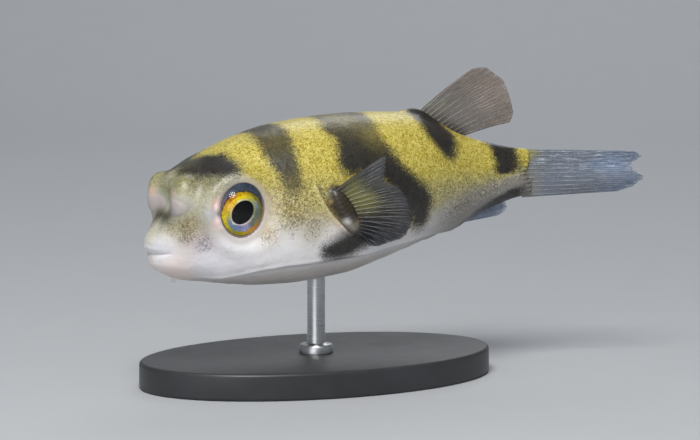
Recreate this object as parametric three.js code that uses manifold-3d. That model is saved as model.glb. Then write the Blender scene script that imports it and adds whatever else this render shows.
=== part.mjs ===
// A small banded freshwater puffer, life size, held over a plain display stand.
// Millimetres and degrees. The nose points to -X, the fish's left side to -Y, up is +Z.
// The origin is the centre of the underside of the stand's base.
import * as THREE from 'three';
import { mergeVertices } from 'three/addons/utils/BufferGeometryUtils.js';
import Module from 'manifold-3d';

const wasm = await Module();
wasm.setup();

// ---- Driving dimensions ----
const BODY_LENGTH = 46; // face to the root of the tail fin, along the midline
const FACE_START = 0.4; // where the face stands behind the lips
const MOUTH_HEIGHT = -2.95; // the mouth's slit, from the midline
const GAP = 0.3; // clearance between neighbouring pieces
const MERGE = 1e-4; // vertices closer than this are one

// Distance from the lips, height of the back, height of the belly, half width.
const SECTIONS = [
  [FACE_START, -2.0, -2.0, 0],
  [0.8, 0.0, -4.0, 1.7],
  [1.6, 2.6, -5.2, 2.6],
  [3.0, 5.15, -6.1, 4.0],
  [5.3, 6.3, -6.75, 5.6],
  [8.6, 7.4, -7.5, 6.85],
  [12.5, 8.45, -8.15, 7.75],
  [17.0, 9.15, -8.45, 8.35],
  [22.0, 9.3, -8.3, 8.5],
  [27.0, 9.1, -7.4, 8.0],
  [30.5, 8.75, -6.65, 7.25],
  [33.5, 8.2, -5.95, 6.35],
  [37.0, 6.35, -5.1, 4.9],
  [40.0, 4.95, -4.15, 3.4],
  [43.2, 3.75, -3.2, 2.05],
  [BODY_LENGTH, 2.95, -2.6, 1.0],
];
const FULLNESS = 2.25; // 2 is an ellipse, more is squarer
const WIDEST_DROP = 0.08; // the widest line, below half height, as a share of the height

const BEND_START = 21; // the midline starts to swing to the left here
const BEND_END = 59.5;
const TAIL_SWING = 22; // final turn of the midline
const NOSE_DOWN = 4.3; // pitch of the whole fish
const REST_POINT = 21; // the point of the midline over the stand's rod
const REST_HEIGHT = 20; // height of that point over the floor

const HEAD_END = 17.2; // the gill line
const TAIL_STALK_START = 39.6;

// Rounded forms of the head: centre as [from the lips, to the left, up], and radii.
const NASAL_LOBE = { centre: [3.5, 2.65, 2.5], radii: [1.65, 1.7, 2.75] };
const UPPER_LIP = { centre: [1.9, 0, -2.05], radii: [2.2, 2.6, 1.45] };
const LOWER_LIP = { centre: [2.25, 0, -3.95], radii: [2.15, 2.4, 1.4] };
const ORBIT = { centre: [8.4, 4.3, 1.2], radii: [3.9, 3.0, 3.8] };
const SNOUT_HOLLOW = { height: 1.6, spread: 1.8, reach: 3, depth: 0.95 };
const EYEBALL = { centre: [8.4, 5.0, 1.2], radii: [3.0, 2.35, 3.0] };
const CHIN_TAG = { first: 2.3, back: 0.35, height: -5.95, spread: 1.1, radii: [0.3, 0.3, 0.55] };

const FIN_THICKNESS = 0.5;
const RAY_RIDGE = 0.2; // extra thickness over a fin ray

// Pectoral fin: its fleshy root, the angle it stands off the flank, and its fan.
const PECTORAL = {
  rootTop: [18.7, 2.3],
  rootBottom: [21.1, -2.75],
  rootRadius: 1.05,
  stand: 30,
  rays: 12,
  rows: 3,
  fan: [
    [0, 33, 6.9],
    [0.2, 20, 5.5],
    [0.35, 11, 6.9],
    [0.55, 2, 7.3],
    [0.75, -12, 6.4],
    [0.9, -23, 4.2],
    [1, -48, 2.0],
  ],
};

// Midline fins: root from front to back along the midline, then share of the root,
// angle over the midline and length of a ray.
const DORSAL = {
  front: 33.3,
  back: 38.7,
  rays: 10,
  rows: 4,
  fan: [
    [0, 33, 8.9],
    [0.15, 30.5, 9.8],
    [0.45, 26, 9.5],
    [0.75, 21, 8.2],
    [1, 16, 6.5],
  ],
};
const ANAL = {
  front: 34.0,
  back: 38.0,
  rays: 9,
  rows: 3,
  fan: [
    [0, 1, 8.6],
    [0.3, 3, 8.2],
    [1, 9, 5.4],
  ],
};
const FIN_ROOT_DEPTH = 0.9; // how far a midline fin is let into the flesh before it is cut
const CAUDAL = {
  top: 2.75,
  bottom: -2.75,
  rays: 11,
  rows: 4,
  rootThickness: 1.2,
  fan: [
    [0, -5.8, 13.6],
    [0.12, -5.4, 14.1],
    [0.38, -4.6, 12.9],
    [0.62, -3.9, 14.2],
    [0.8, -3.4, 13.4],
    [1, -1.8, 11.4],
  ],
};

const STAND = { length: 42, width: 27, thickness: 3, bevel: 0.4, rodRadius: 1, rodDepth: 2.2 };

const BODY_MESH = { around: 26, along: 32, frontSpacing: 1.6 };
const BALL_MESH = { around: 14, along: 8 };
const EYE_MESH = { around: 18, along: 10 };
const TAG_MESH = { around: 8, along: 6 };
const LARGE = 60; // reach of the cutting boxes

// ---- Helpers ----
const radians = THREE.MathUtils.degToRad;

// A smooth curve through [x, value] knots that never overshoots them.
function smoothThrough(knots) {
  const last = knots.length - 1;
  const slopes = knots.slice(1).map((knot, i) => (knot[1] - knots[i][1]) / (knot[0] - knots[i][0]));
  const tangents = knots.map((_, i) => {
    if (i === 0) return slopes[0];
    if (i === last) return slopes[last - 1];
    const product = slopes[i - 1] * slopes[i];
    return product <= 0 ? 0 : (2 * product) / (slopes[i - 1] + slopes[i]);
  });
  return (x) => {
    const inside = THREE.MathUtils.clamp(x, knots[0][0], knots[last][0]);
    const i = Math.max(0, Math.min(last - 1, knots.findIndex((knot) => knot[0] > inside) - 1));
    const j = inside >= knots[last][0] ? last - 1 : i;
    const width = knots[j + 1][0] - knots[j][0];
    const t = (inside - knots[j][0]) / width;
    const start = knots[j][1] * (1 - t) ** 2 * (1 + 2 * t) + knots[j + 1][1] * t * t * (3 - 2 * t);
    return start + width * (tangents[j] * t * (1 - t) ** 2 - tangents[j + 1] * t * t * (1 - t));
  };
}

// The face is round, so the outlines are smooth in the square root of the distance behind it.
const faceRoot = (s) => Math.sqrt(Math.max(0, s - FACE_START));
const outline = (column) => smoothThrough(SECTIONS.map((row) => [faceRoot(row[0]), row[column]]));
const backOutline = outline(1);
const bellyOutline = outline(2);
const widthOutline = outline(3);
const backAt = (s) => backOutline(faceRoot(s));
const bellyAt = (s) => bellyOutline(faceRoot(s));
const halfWidthAt = (s) => widthOutline(faceRoot(s));

function heading(s) {
  return radians(TAIL_SWING) * THREE.MathUtils.smoothstep(s, BEND_START, BEND_END);
}

// Point of the body from its distance along the midline, its distance to the left and its height.
function place(s, left, up) {
  const steps = 24;
  const step = Math.max(0, s - BEND_START) / steps;
  let x = Math.min(s, BEND_START);
  let y = 0;
  for (let i = 0; i < steps; i += 1) {
    const turn = heading(BEND_START + (i + 0.5) * step);
    x += Math.cos(turn) * step;
    y -= Math.sin(turn) * step;
  }
  const turn = heading(s);
  return new THREE.Vector3(x - left * Math.sin(turn) - REST_POINT, y - left * Math.cos(turn), up);
}

function closed(geometry) {
  geometry.deleteAttribute('normal');
  geometry.deleteAttribute('uv');
  return mergeVertices(geometry, MERGE);
}

function toSolid(geometry) {
  const merged = closed(geometry);
  const vertProperties = new Float32Array(merged.attributes.position.array);
  const triVerts = new Uint32Array(merged.index.array);
  return new wasm.Manifold(new wasm.Mesh({ numProp: 3, vertProperties, triVerts }));
}

function toGeometry(solid) {
  const mesh = solid.getMesh();
  const geometry = new THREE.BufferGeometry();
  geometry.setAttribute('position', new THREE.BufferAttribute(mesh.vertProperties, 3));
  geometry.setIndex(new THREE.BufferAttribute(mesh.triVerts, 1));
  geometry.computeVertexNormals();
  return geometry;
}

function moveVertices(geometry, move) {
  const position = geometry.attributes.position;
  const point = new THREE.Vector3();
  for (let i = 0; i < position.count; i += 1) {
    const moved = move(point.fromBufferAttribute(position, i));
    position.setXYZ(i, moved.x, moved.y, moved.z);
  }
  return geometry;
}

const bulge = (value, power) => Math.sign(value) * Math.abs(value) ** power;

// How far the face is set back between the lips and the nasal lobes.
function snoutHollow(s, up) {
  const { height, spread, reach, depth } = SNOUT_HOLLOW;
  return depth * Math.exp(-(((up - height) / spread) ** 2) - ((s - FACE_START) / reach) ** 2);
}

// Point on the flesh, at an angle up from the side.
function onFlesh(s, cosine, sine, grow = 0) {
  const back = backAt(s) + grow;
  const belly = bellyAt(s) - grow;
  const middle = (back + belly) / 2 - WIDEST_DROP * (back - belly);
  const reach = sine >= 0 ? back - middle : middle - belly;
  const left = (halfWidthAt(s) + grow) * bulge(cosine, 2 / FULLNESS);
  const up = middle + reach * bulge(sine, 2 / FULLNESS);
  return place(s + snoutHollow(s, up), left, up);
}

// The whole body, as a ball whose poles are the face and the root of the tail fin.
function fleshGeometry(grow = 0) {
  const { around, along, frontSpacing } = BODY_MESH;
  const lastRing = 1 - 1 / along;
  const start = FACE_START - grow;
  const end = BODY_LENGTH + grow;
  return moveVertices(new THREE.SphereGeometry(1, around, along), (unit) => {
    const share = Math.min(1, Math.acos(THREE.MathUtils.clamp(unit.y, -1, 1)) / Math.PI / lastRing);
    const s = start + (end - start) * share ** frontSpacing;
    const radius = Math.hypot(unit.x, unit.z);
    if (radius < MERGE) {
      const bodyS = Math.min(s, BODY_LENGTH);
      return place(s, 0, (backAt(bodyS) + bellyAt(bodyS)) / 2);
    }
    return onFlesh(s, -unit.x / radius, unit.z / radius, grow);
  });
}

// A ball stretched to its radii, on the left (side 1) or right (side -1), grown by a clearance.
// Its poles face sideways, so its rings run round the eye.
function ballSolid(form, side = 1, grow = 0, detail = BALL_MESH) {
  const [s, left, up] = form.centre;
  const [length, width, height] = form.radii.map((radius) => radius + grow);
  const ball = new THREE.SphereGeometry(1, detail.around, detail.along);
  ball.scale(length, width, height);
  const centre = place(s, side * left, up);
  ball.translate(centre.x, centre.y, centre.z);
  return toSolid(ball);
}

// A large box that covers the body from one place on the midline to another.
function spanSolid(from, to) {
  const box = new THREE.BoxGeometry(1, 1, 1);
  moveVertices(box, (corner) => {
    const s = corner.x < 0 ? from : to;
    return place(s, -corner.y * LARGE, corner.z * LARGE);
  });
  return toSolid(box);
}

// A box that keeps what is above a height (sign 1) or below it (sign -1).
function halfSpace(height, sign) {
  const box = new THREE.BoxGeometry(2 * LARGE, 2 * LARGE, 2 * LARGE);
  box.translate(0, 0, height + sign * LARGE);
  return toSolid(box);
}

// A fin as a thin slab over a surface: share goes across the rays, reach goes out along them.
function finGeometry(surface, rays, rows, thicknessAt) {
  const columns = 2 * rays;
  const slab = new THREE.BoxGeometry(1, 1, 1, columns, 1, rows);
  const step = 1e-3;
  return moveVertices(slab, (corner) => {
    const share = corner.x + 0.5;
    const reach = corner.z + 0.5;
    const across = surface(share + step, reach).sub(surface(share - step, reach));
    const outward = surface(share, reach + step).sub(surface(share, reach - step));
    const normal = outward.cross(across).normalize();
    const onRay = Math.round(share * columns) % 2 === 1;
    const half = (thicknessAt(reach) + (onRay ? RAY_RIDGE : 0)) / 2;
    return surface(share, reach).addScaledVector(normal, 2 * half * corner.y);
  });
}

// Splits a fan's knots into smooth curves of angle and length over the share of the root.
function fanCurves(fan) {
  const angle = smoothThrough(fan.map((knot) => [knot[0], knot[1]]));
  const length = smoothThrough(fan.map((knot) => [knot[0], knot[2]]));
  return { angle, length };
}

// ---- Body pieces ----
const flesh = toSolid(fleshGeometry());
const grownFlesh = toSolid(fleshGeometry(GAP));

function rodSocket() {
  const tall = REST_HEIGHT;
  const rodTop = rodEnd() + GAP;
  const socket = new THREE.CylinderGeometry(STAND.rodRadius + GAP, STAND.rodRadius + GAP, tall, 16);
  socket.rotateX(Math.PI / 2);
  socket.translate(0, 0, rodTop - tall / 2);
  socket.applyMatrix4(fishMatrix().invert());
  return toSolid(socket);
}

function fishMatrix() {
  const turn = new THREE.Quaternion().setFromEuler(new THREE.Euler(0, radians(-NOSE_DOWN), 0));
  const size = new THREE.Vector3(1, 1, 1);
  return new THREE.Matrix4().compose(new THREE.Vector3(0, 0, REST_HEIGHT), turn, size);
}

function rodEnd() {
  const belly = place(REST_POINT, 0, bellyAt(REST_POINT)).applyMatrix4(fishMatrix());
  return belly.z + STAND.rodDepth;
}

function chinTags() {
  const tags = [-1, 0, 1].map((side) => {
    const { first, back, height, spread, radii } = CHIN_TAG;
    const centre = [first + back * Math.abs(side), side * spread, height];
    return ballSolid({ centre, radii }, 1, 0, TAG_MESH);
  });
  return tags.reduce((all, tag) => all.add(tag));
}

function headSolid() {
  let head = flesh.intersect(spanSolid(-LARGE, HEAD_END)).add(chinTags());
  [1, -1].forEach((side) => {
    head = head.add(ballSolid(ORBIT, side, 0, EYE_MESH));
  });
  [1, -1].forEach((side) => {
    head = head.subtract(ballSolid(EYEBALL, side, GAP, EYE_MESH));
    head = head.subtract(ballSolid(NASAL_LOBE, side, GAP));
  });
  return head.subtract(ballSolid(UPPER_LIP, 1, GAP)).subtract(ballSolid(LOWER_LIP, 1, GAP));
}

function trunkSolid() {
  let trunk = flesh.intersect(spanSolid(HEAD_END + GAP, TAIL_STALK_START - GAP));
  [1, -1].forEach((side) => {
    trunk = trunk.subtract(pectoralRootSolid(side, GAP));
  });
  return trunk.subtract(rodSocket());
}

function tailStalkSolid() {
  return flesh.intersect(spanSolid(TAIL_STALK_START, BODY_LENGTH + 1));
}

function upperLipSolid() {
  return ballSolid(UPPER_LIP).intersect(halfSpace(MOUTH_HEIGHT + GAP / 2, 1));
}

function lowerLipSolid() {
  return ballSolid(LOWER_LIP).intersect(halfSpace(MOUTH_HEIGHT - GAP / 2, -1));
}

// ---- Fins ----
function pectoralRootSolid(side, grow = 0) {
  const [topS, topUp] = PECTORAL.rootTop;
  const [bottomS, bottomUp] = PECTORAL.rootBottom;
  const long = Math.hypot(topS - bottomS, topUp - bottomUp) / 2 + grow;
  const radius = PECTORAL.rootRadius + grow;
  const s = (topS + bottomS) / 2;
  const root = new THREE.SphereGeometry(1, BALL_MESH.around, BALL_MESH.along);
  root.rotateX(Math.PI / 2);
  root.scale(radius, radius, long);
  root.rotateY(-Math.atan2(bottomS - topS, topUp - bottomUp));
  const centre = place(s, side * halfWidthAt(s), (topUp + bottomUp) / 2);
  root.translate(centre.x, centre.y, centre.z);
  return toSolid(root);
}

function pectoralFinSolid(side) {
  const { angle, length } = fanCurves(PECTORAL.fan);
  const [topS, topUp] = PECTORAL.rootTop;
  const [bottomS, bottomUp] = PECTORAL.rootBottom;
  const back = Math.cos(radians(PECTORAL.stand));
  const out = Math.sin(radians(PECTORAL.stand));
  const surface = (share, reach) => {
    const s = THREE.MathUtils.lerp(topS, bottomS, share);
    const up = THREE.MathUtils.lerp(topUp, bottomUp, share);
    const along = reach * length(share) * Math.cos(radians(angle(share)));
    const rise = reach * length(share) * Math.sin(radians(angle(share)));
    return place(s + along * back, side * (halfWidthAt(s) + along * out), up + rise);
  };
  const fin = toSolid(finGeometry(surface, PECTORAL.rays, PECTORAL.rows, () => FIN_THICKNESS));
  return fin.subtract(pectoralRootSolid(side, GAP)).subtract(grownFlesh);
}

function midlineFinSolid(fin, edgeAt, direction) {
  const { angle, length } = fanCurves(fin.fan);
  const surface = (share, reach) => {
    const s = THREE.MathUtils.lerp(fin.front, fin.back, share);
    const root = edgeAt(s) - direction * FIN_ROOT_DEPTH;
    const ray = reach * (length(share) + FIN_ROOT_DEPTH);
    const turn = radians(angle(share));
    return place(s + ray * Math.cos(turn), 0, root + ray * Math.sin(turn));
  };
  return toSolid(finGeometry(surface, fin.rays, fin.rows, () => FIN_THICKNESS)).subtract(grownFlesh);
}

function caudalFinSolid() {
  const { angle, length } = fanCurves(CAUDAL.fan);
  const surface = (share, reach) => {
    const root = THREE.MathUtils.lerp(CAUDAL.top, CAUDAL.bottom, share);
    const ray = reach * length(share);
    const turn = radians(angle(share));
    return place(BODY_LENGTH + GAP + ray * Math.cos(turn), 0, root + ray * Math.sin(turn));
  };
  const thickness = (reach) => {
    const thinned = Math.min(1, 2 * reach);
    return THREE.MathUtils.lerp(CAUDAL.rootThickness, FIN_THICKNESS, thinned);
  };
  return toSolid(finGeometry(surface, CAUDAL.rays, CAUDAL.rows, thickness));
}

// ---- Stand ----
function standBaseGeometry() {
  const { length, width, thickness, bevel } = STAND;
  const oval = new THREE.Shape();
  oval.absellipse(0, 0, length / 2 - bevel, width / 2 - bevel, 0, 2 * Math.PI);
  const base = new THREE.ExtrudeGeometry(oval, {
    depth: thickness - 2 * bevel,
    bevelThickness: bevel,
    bevelSize: bevel,
    bevelSegments: 1,
    curveSegments: 20,
  });
  base.translate(0, 0, bevel);
  return base;
}

function standRodGeometry() {
  const height = rodEnd() - STAND.thickness;
  const rod = new THREE.CylinderGeometry(STAND.rodRadius, STAND.rodRadius, height, 24);
  rod.rotateX(Math.PI / 2);
  rod.translate(0, 0, STAND.thickness + height / 2);
  return rod;
}

// ---- Materials ----
function finish(color, roughness, metalness = 0) {
  return new THREE.MeshStandardMaterial({ color, roughness, metalness });
}

const bandedSkin = finish(0xb7a72e, 0.45);
const paleSkin = finish(0xd9d6d2, 0.45);
const eyeFinish = finish(0xb99a1c, 0.1);
const finFinish = finish(0x8c96a3, 0.4);
const standPaint = finish(0x3a3c3f, 0.6);
const steel = finish(0xb8babd, 0.35, 1);

// ---- Assembly ----
function named(name, geometry, material) {
  const mesh = new THREE.Mesh(geometry, material);
  mesh.name = name;
  return mesh;
}

const fish = new THREE.Group();
fish.applyMatrix4(fishMatrix());
const addFlesh = (name, solid, material) => fish.add(named(name, toGeometry(solid), material));

addFlesh('head', headSolid(), bandedSkin);
addFlesh('trunk', trunkSolid(), bandedSkin);
addFlesh('tail_stalk', tailStalkSolid(), bandedSkin);
addFlesh('upper_lip', upperLipSolid(), paleSkin);
addFlesh('lower_lip', lowerLipSolid(), paleSkin);
addFlesh('dorsal_fin', midlineFinSolid(DORSAL, backAt, 1), finFinish);
addFlesh('anal_fin', midlineFinSolid(ANAL, bellyAt, -1), finFinish);
addFlesh('caudal_fin', caudalFinSolid(), finFinish);
[['left', 1], ['right', -1]].forEach(([name, side]) => {
  addFlesh(`nasal_lobe_${name}`, ballSolid(NASAL_LOBE, side), paleSkin);
  addFlesh(`eye_${name}`, ballSolid(EYEBALL, side, 0, EYE_MESH), eyeFinish);
  addFlesh(`pectoral_base_${name}`, pectoralRootSolid(side), bandedSkin);
  addFlesh(`pectoral_fin_${name}`, pectoralFinSolid(side), finFinish);
});

const puffer = new THREE.Group();
puffer.add(fish);
puffer.add(named('stand_base', closed(standBaseGeometry()), standPaint));
puffer.add(named('stand_rod', closed(standRodGeometry()), steel));

export default puffer;
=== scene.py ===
# %% [markdown]
# # A small banded puffer, life size, on a display stand
# This file is a lesson in cells. It dresses a finished set of CAD solids of a freshwater
# pufferfish: one skin goes over all the flesh, and eyes, fins and stand get pieces of their own.
# Lengths in the shape cells are millimetres, as on a ruler laid along the fish, and are turned
# into Blender's metres in one place.

# %% Load the fixed frame
import math
import bmesh
import bpy
import numpy as np
from mathutils import Matrix, Vector, noise


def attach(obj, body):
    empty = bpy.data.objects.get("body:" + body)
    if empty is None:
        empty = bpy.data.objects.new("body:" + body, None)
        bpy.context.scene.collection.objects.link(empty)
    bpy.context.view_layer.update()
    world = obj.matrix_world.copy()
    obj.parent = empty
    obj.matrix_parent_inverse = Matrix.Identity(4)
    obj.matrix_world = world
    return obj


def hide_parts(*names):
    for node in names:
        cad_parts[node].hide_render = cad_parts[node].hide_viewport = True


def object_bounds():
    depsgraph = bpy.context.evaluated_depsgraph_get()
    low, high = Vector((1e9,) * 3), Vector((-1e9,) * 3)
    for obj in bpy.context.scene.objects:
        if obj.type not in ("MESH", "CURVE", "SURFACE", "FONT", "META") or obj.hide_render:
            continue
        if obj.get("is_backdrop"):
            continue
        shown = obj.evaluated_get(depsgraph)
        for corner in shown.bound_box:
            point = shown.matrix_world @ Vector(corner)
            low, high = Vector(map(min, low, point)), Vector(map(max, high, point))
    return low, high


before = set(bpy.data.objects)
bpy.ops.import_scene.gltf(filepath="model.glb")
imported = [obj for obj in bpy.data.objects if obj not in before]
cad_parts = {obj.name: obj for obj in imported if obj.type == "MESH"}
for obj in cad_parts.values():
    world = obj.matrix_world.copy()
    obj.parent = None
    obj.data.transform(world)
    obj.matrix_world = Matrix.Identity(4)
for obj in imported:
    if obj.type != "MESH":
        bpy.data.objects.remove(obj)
cad_low, cad_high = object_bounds()
MM = 0.001
print("CAD box, mm:", [round(side / MM, 1) for side in cad_high - cad_low])

# %% [markdown]
# ## The camera
# A long lens from about half a metre keeps a small animal free of distortion. The camera looks
# at the fish from its left front, thirty degrees off the side view and slightly from above.
# It could be aimed by a constraint, but a rotation worked out once is easier to read and keeps
# the script free of live links.

# %% Camera
CAMERA_AZIMUTH = math.radians(-30)  # round from the fish's left side towards its nose
CAMERA_ELEVATION = math.radians(7)
CAMERA_DISTANCE = 460 * MM
CAMERA_LENS = 213.7
LOOK_AT = Vector((0, 0, 20)) * MM  # the fish's middle, over the stand
LOOK_RIGHT = 3.76 * MM  # how far right of that point the picture is centred
LOOK_DOWN = 2.18 * MM  # and how far below it


def direction_to(turn, rise):
    """Unit vector from the fish towards a viewer or a lamp; turn is 0 at its left side."""
    return Vector((math.sin(turn) * math.cos(rise), -math.cos(turn) * math.cos(rise), math.sin(rise)))


def make_camera():
    back = direction_to(CAMERA_AZIMUTH, CAMERA_ELEVATION)
    right = Vector((math.cos(CAMERA_AZIMUTH), math.sin(CAMERA_AZIMUTH), 0))
    up = back.cross(right)
    camera = bpy.data.objects.new("camera", bpy.data.cameras.new("camera"))
    camera.data.lens = CAMERA_LENS
    camera.data.clip_start = 10 * MM
    camera.data.clip_end = 20
    camera.location = LOOK_AT + right * LOOK_RIGHT - up * LOOK_DOWN + back * CAMERA_DISTANCE
    camera.rotation_mode = "QUATERNION"
    camera.rotation_quaternion = back.to_track_quat("Z", "Y")
    bpy.context.scene.collection.objects.link(camera)
    bpy.context.scene.camera = camera
    return camera


camera = make_camera()
print("camera height, mm:", round(camera.location.z / MM, 1))

# %% [markdown]
# ## Measured lines of the body
# A fish is drawn by three lines along its length: the back, the belly and the half width. Each
# is a smooth curve through a few measured stations. The face is blunt and round, so the curves
# are made smooth in the square root of the distance behind the face, which turns a round nose
# into a straight line and keeps it from looking pointed. They are the same lines as the CAD's.

# %% Stations: distance from the lips, back, belly, half width
FACE_START = 0.4
STATIONS = [
    (FACE_START, -2.0, -2.0, 0.0),
    (0.8, 0.0, -4.0, 1.7),
    (1.6, 2.6, -5.2, 2.6),
    (3.0, 5.15, -6.1, 4.0),
    (5.3, 6.3, -6.75, 5.6),
    (8.6, 7.4, -7.5, 6.85),
    (12.5, 8.45, -8.15, 7.75),
    (17.0, 9.15, -8.45, 8.35),
    (22.0, 9.3, -8.3, 8.5),
    (27.0, 9.1, -7.4, 8.0),
    (30.5, 8.75, -6.65, 7.25),
    (33.5, 8.2, -5.95, 6.35),
    (37.0, 6.35, -5.1, 4.9),
    (40.0, 4.95, -4.15, 3.4),
    (43.2, 3.75, -3.2, 2.05),
    (46.0, 2.95, -2.6, 1.0),
    (47.3, 2.72, -2.5, 0.5),
]
FLESH_END = STATIONS[-1][0]


def smooth_through(knots):
    """A smooth curve through (x, value) knots that never overshoots them."""
    xs, ys = np.array(knots, float).T
    widths = np.diff(xs)
    slopes = np.diff(ys) / widths
    product = slopes[:-1] * slopes[1:]
    total = slopes[:-1] + slopes[1:]
    inner = np.where(product > 0, 2 * product / np.where(total == 0, 1, total), 0)
    tangents = np.concatenate([slopes[:1], inner, slopes[-1:]])

    def curve(x):
        x = np.clip(x, xs[0], xs[-1])
        i = np.clip(np.searchsorted(xs, x, side="right") - 1, 0, len(xs) - 2)
        t = (x - xs[i]) / widths[i]
        start = ys[i] * (1 - t) ** 2 * (1 + 2 * t) + ys[i + 1] * t * t * (3 - 2 * t)
        return start + widths[i] * (tangents[i] * t * (1 - t) ** 2 - tangents[i + 1] * t * t * (1 - t))

    return curve


def face_root(s):
    return np.sqrt(np.maximum(0, s - FACE_START))


def station_curve(column):
    line = smooth_through([(face_root(row[0]), row[column]) for row in STATIONS])
    return lambda s: line(face_root(s))


back_at = station_curve(1)
belly_at = station_curve(2)
half_width_at = station_curve(3)
print("greatest width, mm:", round(2 * float(half_width_at(22.0)), 2))

# %% [markdown]
# ## Bending the straight fish
# It is far easier to sculpt a straight, level fish and bend it afterwards than to sculpt a bent
# one. `to_world` swings the tail to the fish's left along a smooth midline, tips the nose down
# and lifts the fish to its height over the floor.

# %% Pose
BEND_START = 21.0
BEND_END = 59.5
TAIL_SWING = math.radians(22)
NOSE_DOWN = math.radians(4.3)
REST_POINT = 21.0  # the point of the midline over the stand's rod
REST_HEIGHT = 20.0


def smoothstep(x, low, high):
    t = np.clip((x - low) / (high - low), 0, 1)
    return t * t * (3 - 2 * t)


def heading(s):
    return TAIL_SWING * smoothstep(s, BEND_START, BEND_END)


MIDLINE_STEP = 0.05
MIDLINE_START, MIDLINE_END = -2.0, 70.0  # from before the lips to behind the tail fin
midline_s = np.arange(MIDLINE_START, MIDLINE_END, MIDLINE_STEP)
midline_turn = heading(midline_s + MIDLINE_STEP / 2)
midline_x = midline_s[0] + np.concatenate([[0], np.cumsum(np.cos(midline_turn) * MIDLINE_STEP)[:-1]])
midline_y = -np.concatenate([[0], np.cumsum(np.sin(midline_turn) * MIDLINE_STEP)[:-1]])


def to_world(s, left, up):
    """Metres in the frame, from millimetres along, to the left of and above the midline."""
    s, left, up = np.broadcast_arrays(np.asarray(s, float), left, up)
    turn = heading(s)
    x = np.interp(s, midline_s, midline_x) - left * np.sin(turn) - REST_POINT
    y = np.interp(s, midline_s, midline_y) - left * np.cos(turn)
    tipped_x = x * math.cos(NOSE_DOWN) - up * math.sin(NOSE_DOWN)
    tipped_z = x * math.sin(NOSE_DOWN) + up * math.cos(NOSE_DOWN) + REST_HEIGHT
    return np.stack([tipped_x, y, tipped_z], -1) * MM


print("root of the tail fin, mm:", (to_world(46, 0, 0) / MM).round(2))

# %% [markdown]
# ## One skin from one sphere
# The skin could be lofted ring by ring, or sculpted from a remeshed block. Here it starts as a
# UV sphere from `bmesh.ops.create_uvsphere`, whose two poles become the middle of the face and
# the end of the tail stalk. Each vertex keeps its own place on the sphere as two numbers, how
# far along the fish and how far round, and the measured lines turn those into a point. Rings
# are packed closer on the head, which needs the detail.

# %% Sphere to fish
AROUND, ALONG = 288, 336
FRONT_PACKING = 1.6
FULLNESS = 2.25  # 2 is an ellipse, more is squarer
WIDEST_DROP = 0.08  # the widest line, below half height, as a share of the height
SNOUT_HOLLOW = {"height": 1.6, "spread": 1.8, "reach": 3.0, "depth": 0.95}


def bulge(value, power):
    return np.sign(value) * np.abs(value) ** power


def ridge(distance, width):
    """A rounded ridge, 1 on its line, falling away over a width."""
    return np.exp(-((distance / width) ** 2))


def flesh_point(share, angle):
    """Point of the plain body: share 0 to 1 from face to tail, angle up from the left side."""
    s = FACE_START + (FLESH_END - FACE_START) * np.clip(share, 0, 1) ** FRONT_PACKING
    back, belly = back_at(s), belly_at(s)
    middle = (back + belly) / 2 - WIDEST_DROP * (back - belly)
    sine, cosine = np.sin(angle), np.cos(angle)
    reach = np.where(sine >= 0, back - middle, middle - belly)
    left = half_width_at(s) * bulge(cosine, 2 / FULLNESS)
    up = middle + reach * bulge(sine, 2 / FULLNESS)
    hollow = SNOUT_HOLLOW
    fall = ridge(up - hollow["height"], hollow["spread"]) * ridge(s - FACE_START, hollow["reach"])
    return np.stack([s + hollow["depth"] * fall, left, up], -1)


print("middle of the face, mm:", flesh_point(0.0, 0.0).round(2))

# %% The skin's sphere
skin_bm = bmesh.new()
bmesh.ops.create_uvsphere(skin_bm, u_segments=AROUND, v_segments=ALONG, radius=1)
skin_mesh = bpy.data.meshes.new("skin")
skin_bm.to_mesh(skin_mesh)
skin_bm.free()
unit = np.empty(len(skin_mesh.vertices) * 3)
skin_mesh.vertices.foreach_get("co", unit)
unit = unit.reshape(-1, 3)
LAST_RING = 1 - 1 / ALONG  # the last ring before the pole stands at the flesh's end
share = np.arccos(np.clip(unit[:, 2], -1, 1)) / math.pi / LAST_RING
around_radius = np.hypot(unit[:, 0], unit[:, 1])
is_pole = around_radius < 1e-6
angle = np.arctan2(unit[:, 1], unit[:, 0])
flesh = flesh_point(np.minimum(share, 1), angle)
flesh[is_pole, 1] = 0
flesh[is_pole, 2] = (back_at(flesh[is_pole, 0]) + belly_at(flesh[is_pole, 0])) / 2
print("skin vertices:", len(flesh))

# %% [markdown]
# ## Which way is out
# Most of the sculpting below pushes the surface in or out, so each vertex needs the outward
# direction of the plain body. It comes from the two tangents, each the difference of two nearby
# points.

# %% Outward directions
SHARE_STEP, ANGLE_STEP = 1e-4, 1e-3
inner_share = np.clip(share, 2e-3, 1 - 2e-3)  # clear of the poles, where the tangents vanish
along_tangent = flesh_point(inner_share + SHARE_STEP, angle) - flesh_point(inner_share - SHARE_STEP, angle)
round_tangent = flesh_point(inner_share, angle + ANGLE_STEP) - flesh_point(inner_share, angle - ANGLE_STEP)
outward = np.cross(round_tangent, along_tangent)
outward /= np.maximum(np.linalg.norm(outward, axis=1), 1e-12)[:, None]
outward[is_pole] = np.where(share[is_pole] < 0.5, -1, 1)[:, None] * np.array([1.0, 0, 0])
print("outward directions of unit length:", bool(np.allclose(np.linalg.norm(outward, axis=1), 1)))

# %% [markdown]
# ## Rounded forms of the head
# The head of a puffer is a set of soft balls under one skin: two nasal lobes, the swelling round
# each eye, the two lips, and behind the gills the fleshy root of each pectoral fin. Each is an
# ellipsoid, and the skin is pushed outwards until it covers them all. A smooth minimum of the
# distances rounds the valleys where two forms meet, as flesh does; a hard union would crease.
# The valley between the nasal lobes is then drawn in a little deeper.

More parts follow.
